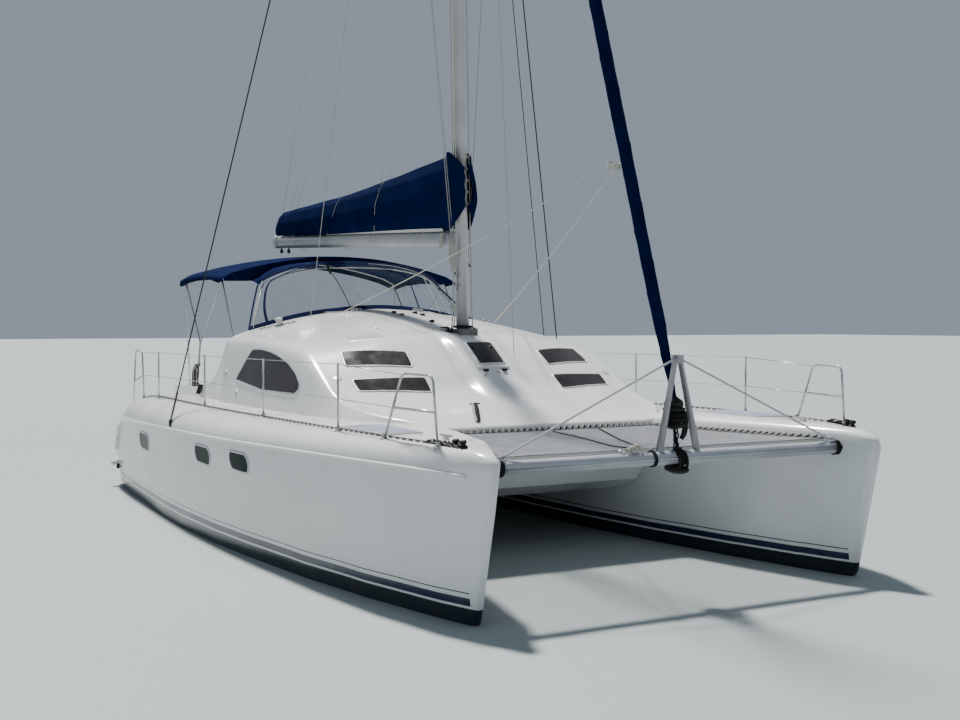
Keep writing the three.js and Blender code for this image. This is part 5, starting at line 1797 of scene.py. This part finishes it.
def foredeck_fittings(plastic, dark_rope, cream, lid_grey, pad, trim, hull_trees):
    for name, side in SIDES:
        locker_grip_panel(name, side, pad)
        bow_fairlead(name, side, hull_trees[name], plastic)
        bow_lines(name, side, dark_rope, cream)
    hatch = rounded_loop([(x, y, OVERHEAD) for x, y in FLUSH_HATCH], 0.04)
    pane_and_frame("flush_roof_hatch", hatch, ROOF_TREE, DOWN, lid_grey, trim, width=0.012, proud=0.003)
    roof_foot_hank(plastic, dark_rope, cream)
    small_deck_fittings(trim)


# Crossbeam and furler

BEAM = Vector((5.44, 0, 1.372))
BEAM_RADIUS = 0.066
A_FRAME_TOP = 2.35
LASHINGS = ((-2.05, 4), (2.03, 4), (-0.33, 2))
ROLLER_PAD = (
    (0.0, -0.045), (0.07, -0.042), (0.115, -0.022), (0.125, 0.0), (0.110, 0.020), (0.06, 0.034),
    (0.0, 0.036),
)
DRUM_HOOD = (
    (0.030, 0.0), (0.075, 0.012), (0.098, 0.04), (0.092, 0.075), (0.060, 0.105), (0.036, 0.125),
    (0.030, 0.16),
)


def beam_lashings(dark_rope):
    wraps = [
        coil(off(BEAM, 0, y, 0), BEAM_RADIUS + 0.008, (0, 1, 0), turns, 0.018, 18) for y, turns in LASHINGS
    ]
    assemble("beam_lashings", [strand(wraps, 0.009, 6)], dark_rope, "boat")


def beam_braces(steel, piping):
    """Pads under the braces' feet, and white sleeves over the braces."""
    pads = [
        block((5.40, side * 1.99 - 0.04, 1.436), (5.48, side * 1.99 + 0.04, 1.452), 0.004)
        for side in (-1, 1)
    ]
    assemble("beam_brace_pads", pads, steel, "boat")
    braces = []
    for side in (-1, 1):
        foot, head = Vector((5.43, side * 1.99, 1.4585)), Vector((5.425, side * 0.02, A_FRAME_TOP - 0.015))
        run = (head - foot).normalized()
        braces.append([foot + run * 0.05, foot.lerp(head, 0.5), head - run * 0.03])
    assemble("brace_sleeves", [strand(braces, 0.0105, 8)], piping, "boat")


def bridle_knot(cream, steel):
    """Coils of cream rope and a shackle on the beam."""
    top = off(BEAM, -0.02, -0.60, BEAM_RADIUS + 0.02)
    knots = [
        coil(off(top, 0.02, 0.04 * k, 0.01 * k), 0.030 + 0.006 * (k % 2), (0.4, 1, 0.3 * k), 2.0, 0.012)
        for k in range(4)
    ]
    tail = ((0, 0.02, 0), (-0.04, 0.10, 0.02), (0.03, 0.20, 0.0), (-0.02, 0.32, 0.015))
    knots.append(loop_about(top, 5, *tail))
    assemble("bridle_knot", [strand(knots, 0.008, 6)], cream, "boat")
    shackle = strand([circle(off(top, 0.0, -0.05, 0.0), 0.034, (0.2, 0.3, 1), 14)], 0.007, 8)
    assemble("bridle_shackle", [shackle], steel, "boat")


def furler_lashing(dark_rope, plastic):
    """Links and turns of rope from the drum round the beam, over a padded roller."""
    link = [
        circle((5.40 + 0.008 * (k % 2), 0.0, 1.625 - 0.045 * k), 0.028, (k % 2, (k + 1) % 2, 0), 12)
        for k in range(4)
    ]
    for k in range(5):
        spot = (BEAM.x, -0.03 + 0.018 * k, BEAM.z)
        link.append(coil(spot, BEAM_RADIUS + 0.012 + 0.003 * (k % 2), (0, 1, 0.05 * k), 1.2, 0.01, 18))
    assemble("furler_lashing", [strand(link, 0.0085, 6)], dark_rope, "boat")
    pad = turned(ROLLER_PAD, (5.43, -0.01, 1.262), (0.12, 0.05, 1), 22)
    straps = [circle((BEAM.x, y, 1.33), 0.105, (0.05, 1, 0), 18) for y in (-0.05, 0.04)]
    assemble("beam_roller_pad", [pad, strand(straps, 0.008, 6, 2.0)], plastic, "boat")


def drum_dressing(dark_rope, plastic, steel):
    """Line wound on the drum, the torn sun strip hanging from it, its hood and the a-frame's pin."""
    x = FURLER.x
    wound = [coil((x, 0, 1.704 + 0.016 * k), 0.082 + 0.010 * (k % 3), UP, 1.1, 0.012, 18) for k in range(7)]
    assemble("furling_line", [strand(wound, 0.009, 6)], dark_rope, "boat")
    cloth = [
        curve_through([
            (x - 0.04 + 0.02 * k, 0.03, 1.87), (x + 0.02 + 0.01 * k, 0.075 + 0.012 * k, 1.80),
            (x + 0.03, 0.105 + 0.010 * k, 1.70), (x + 0.02, 0.105 + 0.008 * k, 1.60), (x, 0.09, 1.54),
        ], 5)
        for k in range(3)
    ]
    assemble("drum_cloth", [strand(cloth, 0.022, 8, 0.4)], plastic, "boat")
    hood = turned(DRUM_HOOD, (x, 0, 1.835), (-0.12, 0, 1), 18)
    assemble("drum_hood", [hood], plastic, "boat", 50)
    pin = strand([[(5.425, -0.06, 2.355), (5.425, 0.06, 2.355)]], 0.014, 10)
    assemble("a_frame_pin", [pin], steel, "boat")


# Net

NET_EDGE = ((3.05, 1.435), (4.0, 1.628), (4.5, 1.755), (5.017, 1.868), (5.40, 2.03))
NET_FRONT = 5.36
NET_WIDEST = 2.05
MESH_SIZE = 0.036
HEM_STEPS = 40
LACING_STEPS = 70
HOOKS = 36
SIDE_LACING_STEPS = 56


def net_half(x):
    (half,) = read_table(NET_EDGE, x)
    return half


def net(cord_material):
    """Open square netting, a little slack in the middle."""
    made = bmesh.new()
    columns = int((NET_FRONT - BRIDGE_FRONT - 0.06) / MESH_SIZE)
    half_rows = int(NET_WIDEST / MESH_SIZE)
    points = {}
    for i in range(columns + 1):
        for j in range(-half_rows, half_rows + 1):
            x, y = BRIDGE_FRONT + 0.04 + i * MESH_SIZE, j * MESH_SIZE
            if abs(y) <= net_half(x) - 0.03:
                sag = 0.02 * math.cos(y * 0.75) * math.sin((x - BRIDGE_FRONT) / 2.35 * math.pi)
                points[i, j] = made.verts.new((x, y, NET_Z - sag))
    for i, j in points:
        corners = [(i, j), (i + 1, j), (i + 1, j + 1), (i, j + 1)]
        if all(c in points for c in corners):
            made.faces.new([points[c] for c in corners])
    netting = object_of("net", made)
    apply_modifier(netting, "WIREFRAME", thickness=0.0075, use_replace=True, use_even_offset=False)
    settle(netting, "net", "boat", cord_material, 60)
    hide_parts("trampoline")


def net_hems(webbing):
    """Webbing sewn round the netting's four edges."""
    hems = []
    for name, side in SIDES:
        rows = []
        for i in range(HEM_STEPS + 1):
            x = BRIDGE_FRONT + 0.02 + (NET_FRONT - BRIDGE_FRONT - 0.03) * i / HEM_STEPS
            edge = net_half(x) - 0.012
            rows.append([Vector((x, side * (edge - 0.030 * k), NET_Z + 0.003)) for k in (0, 0.5, 1)])
        hems.append((name, rows))
    for name, x in (("aft", BRIDGE_FRONT + 0.02), ("front", NET_FRONT - 0.06)):
        half = net_half(x) - 0.02
        rows = [
            [Vector((x + 0.026 * k, half * (2 * i / HEM_STEPS - 1), NET_Z + 0.003)) for k in (0, 0.5, 1)]
            for i in range(HEM_STEPS + 1)
        ]
        hems.append((name, rows))
    for name, rows in hems:
        hem = cloth_grid("net_hem", rows, 0.05, 2.3)
        thicken(hem, 0.004)
        settle(hem, f"net_hem_{name}", "boat", webbing, 60)


def net_lacing(cream, dark_rope):
    """Cord zigzagged between the hem and the deck, with its hooks, and ropes over the net."""
    half = net_half(BRIDGE_FRONT)
    aft_lacing = []
    for k in range(LACING_STEPS + 1):
        ahead, up = (0.075, 0.010) if k % 2 else (0.040, 0.050)
        aft_lacing.append((BRIDGE_FRONT + ahead, half * (2 * k / LACING_STEPS - 1), NET_Z + up))
    light, dark = [aft_lacing], []
    for k in range(HOOKS):
        hook = Vector((BRIDGE_FRONT + 0.055, half * ((2 * k + 1) / HOOKS - 1), NET_Z + 0.014))
        dark.append([hook, off(hook, -0.010, 0.030, 0.016)])
    for side in (-1, 1):
        zigzag = []
        for k in range(SIDE_LACING_STEPS + 1):
            x = BRIDGE_FRONT + 0.05 + (5.30 - BRIDGE_FRONT) * k / SIDE_LACING_STEPS
            y, next_y = net_half(x), net_half(x + 0.05)
            inset, up = (0.050, 0.010) if k % 2 else (-0.004, 0.034)
            zigzag.append((x, side * (y - inset), NET_Z + up))
            if k % 2:
                hook = Vector((x, side * (y - 0.02), NET_Z + 0.016))
                dark.append([hook, (x + 0.05, side * (next_y - 0.006), NET_Z + 0.028)])
        light.append(zigzag)
    assemble("net_lacing", [strand(light, 0.0075, 6)], cream, "boat")
    assemble("net_hooks", [strand(dark, 0.010, 6)], dark_rope, "boat")
    loose = curve_through([
        (3.34, -0.12, NET_Z + 0.012), (4.1, -0.20, NET_Z - 0.004), (4.9, -0.42, NET_Z + 0.002),
        (5.33, -0.50, NET_Z + 0.02),
    ], 8)
    seam = [
        (BRIDGE_FRONT + 0.08, 0.62, NET_Z + 0.004), (4.3, 0.10, NET_Z - 0.006), (5.33, -0.36, NET_Z + 0.010),
    ]
    assemble("net_ropes", [strand([loose, seam], 0.007, 6)], dark_rope, "boat")


# Stern and cockpit

COMPASS = ((0.0, 0.0), (0.055, 0.0), (0.055, 0.03), (0.048, 0.055), (0.030, 0.074), (0.0, 0.080))


def stern_bracket(name, side, white, plastic):
    near, far = side * 2.87, side * 2.87 + side * 0.14
    bracket = block((-5.84, min(near, far), 0.34), (-5.72, max(near, far), 0.40), 0.016)
    assemble(f"stern_bracket_{name}", [bracket], white, "boat")
    pin = strand([[(-5.78, side * 2.90, 0.36), (-5.66, side * 2.93, 0.30)]], 0.026, 8)
    assemble(f"stern_bracket_pin_{name}", [pin], plastic, "boat")


def cockpit_sheet(name, side, dark_rope):
    """Turns on the cockpit winch, and the tail laid aft over the coaming in loops."""
    turns = [coil((-3.9, side * 1.78, 1.735 + 0.011 * k), 0.052, UP, 1.1, 0.010) for k in range(4)]
    tail = curve_through([
        (-3.9, side * 1.835, 1.765), (-3.80, side * 1.93, 1.72), (-3.72, side * 2.02, 1.71),
        (-3.62, side * 2.08, 1.70), (-3.5, side * 2.10, 1.71), (-3.42, side * 2.04, 1.70),
    ], 5)
    hang = []
    for k in range(6):
        x = -3.66 + 0.035 * k
        hang.append(curve_through([
            (x, side * 2.13, 1.74), (x + 0.01, side * 2.165, 1.66), (x - 0.01, side * 2.175, 1.60),
            (x + 0.03, side * 2.165, 1.66), (x + 0.015, side * 2.13, 1.735),
        ], 4))
    sheet = strand([*turns, tail, *hang], 0.008, 6)
    assemble(f"cockpit_sheet_{name}", [sheet], dark_rope, "boat")


def hank_on_post(name, side, dark_rope, cream):
    """Loops of rope hung on the bimini's post, dark and pale by turns."""
    loops = []
    for k in range(7):
        wide, drop = 0.045 + 0.010 * (k % 3), 0.27 + 0.03 * (k % 3)
        top = (-4.31 + 0.022 * (k - 3), side * (1.970 + 0.026 + 0.012 * (k % 3)), 2.02 - 0.012 * (k % 4))
        loops.append(loop_about(
            top, 4, (0, 0, 0), (-wide, side * 0.01, -0.10), (-wide * 0.8, side * 0.02, -drop),
            (wide * 0.2, side * 0.02, -drop - 0.03), (wide, side * 0.01, -drop + 0.02),
            (wide * 0.8, 0, -0.09), (0, 0, 0),
        ))
    loops.append(coil((-4.32, side * 1.975, 1.99), 0.045, UP, 3.0, 0.014, 14))
    assemble(f"line_hank_on_post_{name}", [strand(loops[::2], 0.0075, 6)], dark_rope, "boat")
    assemble(f"pale_hank_on_post_{name}", [strand(loops[1::2], 0.0075, 6)], cream, "boat")


def helm_and_door(plastic, steel):
    """Compass and panel by the wheel, the grip on its rim, and the door's handle."""
    panel = block((-2.30, -1.02, 1.955), (-2.26, -0.68, 2.12), 0.01)
    compass = turned(COMPASS, (-2.42, -0.85, 1.958), UP, 20)
    assemble("helm_compass_and_panel", [panel, compass], plastic, "boat")
    grip = coil((-2.615, -0.85, 1.9), 0.38, (1, 0, 0), 1.0, 0.0, 40)
    assemble("wheel_cover", [strand([grip], 0.017, 8)], plastic, "helm_wheel")
    handle = curve_through([
        (-2.095, -0.30, 1.70), (-2.135, -0.30, 1.72), (-2.135, -0.30, 1.90), (-2.095, -0.30, 1.92),
    ], 4)
    assemble("door_handle", [strand([handle], 0.009, 8)], steel, "saloon_door")


def stern_fittings(white, plastic, dark_rope, cream, steel):
    for name, side in SIDES:
        stern_bracket(name, side, white, plastic)
        cockpit_sheet(name, side, dark_rope)
        hank_on_post(name, side, dark_rope, cream)
    helm_and_door(plastic, steel)


# Finishes of the solids that stay as they are

def dress_solids(finishes):
    for material, names in finishes:
        for name in names:
            node = frame["nodes"][name]
            node.data.materials.clear()
            node.data.materials.append(material)


def both(*stems):
    return [f"{stem}_{side}" for stem in stems for side, _ in SIDES]


set_camera()
set_stage()
HULL_PAINT = hull_paint()
DECK = deck_gelcoat()
WHITE = smooth_gelcoat()
GLASS = smoked_acrylic()
TRIM = window_trim()
VINYL = clear_vinyl()
ALLOY = anodised_alloy()
BEAM_ALLOY = beam_alloy()
SLOTTED_ALLOY = toe_rail_alloy()
STEEL = stainless()
DARK_WIRE = rigging_wire()
CANVAS = dull_canvas("navy_canvas", (0.0009, 0.0055, 0.036), (0.0018, 0.011, 0.060))
BINDING = dull_canvas("navy_binding", (0.004, 0.007, 0.028), (0.010, 0.018, 0.065))
WEBBING = dull_canvas("net_webbing", (0.15, 0.155, 0.165), (0.26, 0.265, 0.275))
# Each rope's second colour is the painted shade in the grooves of its lay.
PIPING = rope("white_piping", (0.62, 0.63, 0.62), (0.42, 0.43, 0.42))
CREAM_ROPE = rope("cream_rope", (0.60, 0.58, 0.52), (0.32, 0.31, 0.28))
DARK_ROPE = rope("dark_rope", (0.026, 0.027, 0.030), (0.006, 0.006, 0.007))
NET_CORD = net_cord()
PLASTIC = black_plastic()
dress_solids((
    (DECK, ["bridge_deck", "coachroof", "cockpit_seat", *both("locker_lid")]),
    (WHITE, ["roof_hatch_lid", "helm_pedestal", *both("strake")]),
    (SLOTTED_ALLOY, ["mast_step"]),
    (GLASS, ["saloon_door", *both("window_upper", "window_lower", "window_side")]),
    (VINYL, ["dodger_window"]),
    (ALLOY, both("spreader")),
    (STEEL, ["gooseneck", *both("bow_cleat")]),
    (CANVAS, ["genoa_furled", "sail_cover", "sail_collar", "bimini_canopy", "dodger_canopy"]),
    (NET_CORD, ["trampoline"]),
))
ROOF_TREE = coachroof(DECK)
front_moulding(DECK)
HULL_TREES = {name: tree_of(smoothed(f"hull_{name}", HULL_PAINT, 32)) for name, _ in SIDES}
for stems, finish, angle in (
    (both("strake"), WHITE, 40), (["cockpit_coaming"], DECK, 30),
    (both("keel", "rudder", "sail_drive"), bottom_paint(), 40),
    (["mast", "boom", "a_frame"], ALLOY, 40), (["crossbeam"], BEAM_ALLOY, 40),
    (["helm_wheel", "bimini_frame", *both("guard_rail", "winch")], STEEL, 50),
    (both("shroud"), DARK_WIRE, 50), (["furler_drum"], PLASTIC, 40),
    (both("propeller"), aged_bronze(), 40),
):
    for node_name in stems:
        smoothed(node_name, finish, angle)
windows(GLASS, hull_light_glass(), TRIM, HULL_TREES)
roof_hatch(GLASS, TRIM, PLASTIC)
furled_headsail(CANVAS)
mainsail_cover(CANVAS)
cover_lashings(CREAM_ROPE)
sail_foot(PIPING)
flap_lacing(CREAM_ROPE, STEEL)
bimini_cover(CANVAS, BINDING, PIPING)
dodger(VINYL, CANVAS, BINDING, PIPING, STEEL, PLASTIC)
masthead_crane(ALLOY)
boom_lines(CREAM_ROPE)
spare_halyards(CREAM_ROPE, DARK_ROPE)
genoa_sheets(CREAM_ROPE)
mast_halyards(CREAM_ROPE)
rope_hanks(CREAM_ROPE)
roof_blocks(PLASTIC)
rope_clutches(ALLOY)
roof_winches(STEEL)
sheet_tails(CREAM_ROPE)
shroud_sleeves(DARK_WIRE)
boom_end(PLASTIC, BEAM_ALLOY)
boom_bails(STEEL)
mast_fittings(ALLOY, PLASTIC)
toe_rails(SLOTTED_ALLOY, STEEL, HULL_TREES)
foredeck_fittings(PLASTIC, DARK_ROPE, CREAM_ROPE, roof_lid_grey(), locker_grip(), TRIM, HULL_TREES)
beam_lashings(DARK_ROPE)
beam_braces(STEEL, PIPING)
bridle_knot(CREAM_ROPE, STEEL)
furler_lashing(DARK_ROPE, PLASTIC)
drum_dressing(DARK_ROPE, PLASTIC, STEEL)
net(NET_CORD)
net_hems(WEBBING)
net_lacing(CREAM_ROPE, DARK_ROPE)
stern_fittings(WHITE, PLASTIC, DARK_ROPE, CREAM_ROPE, STEEL)
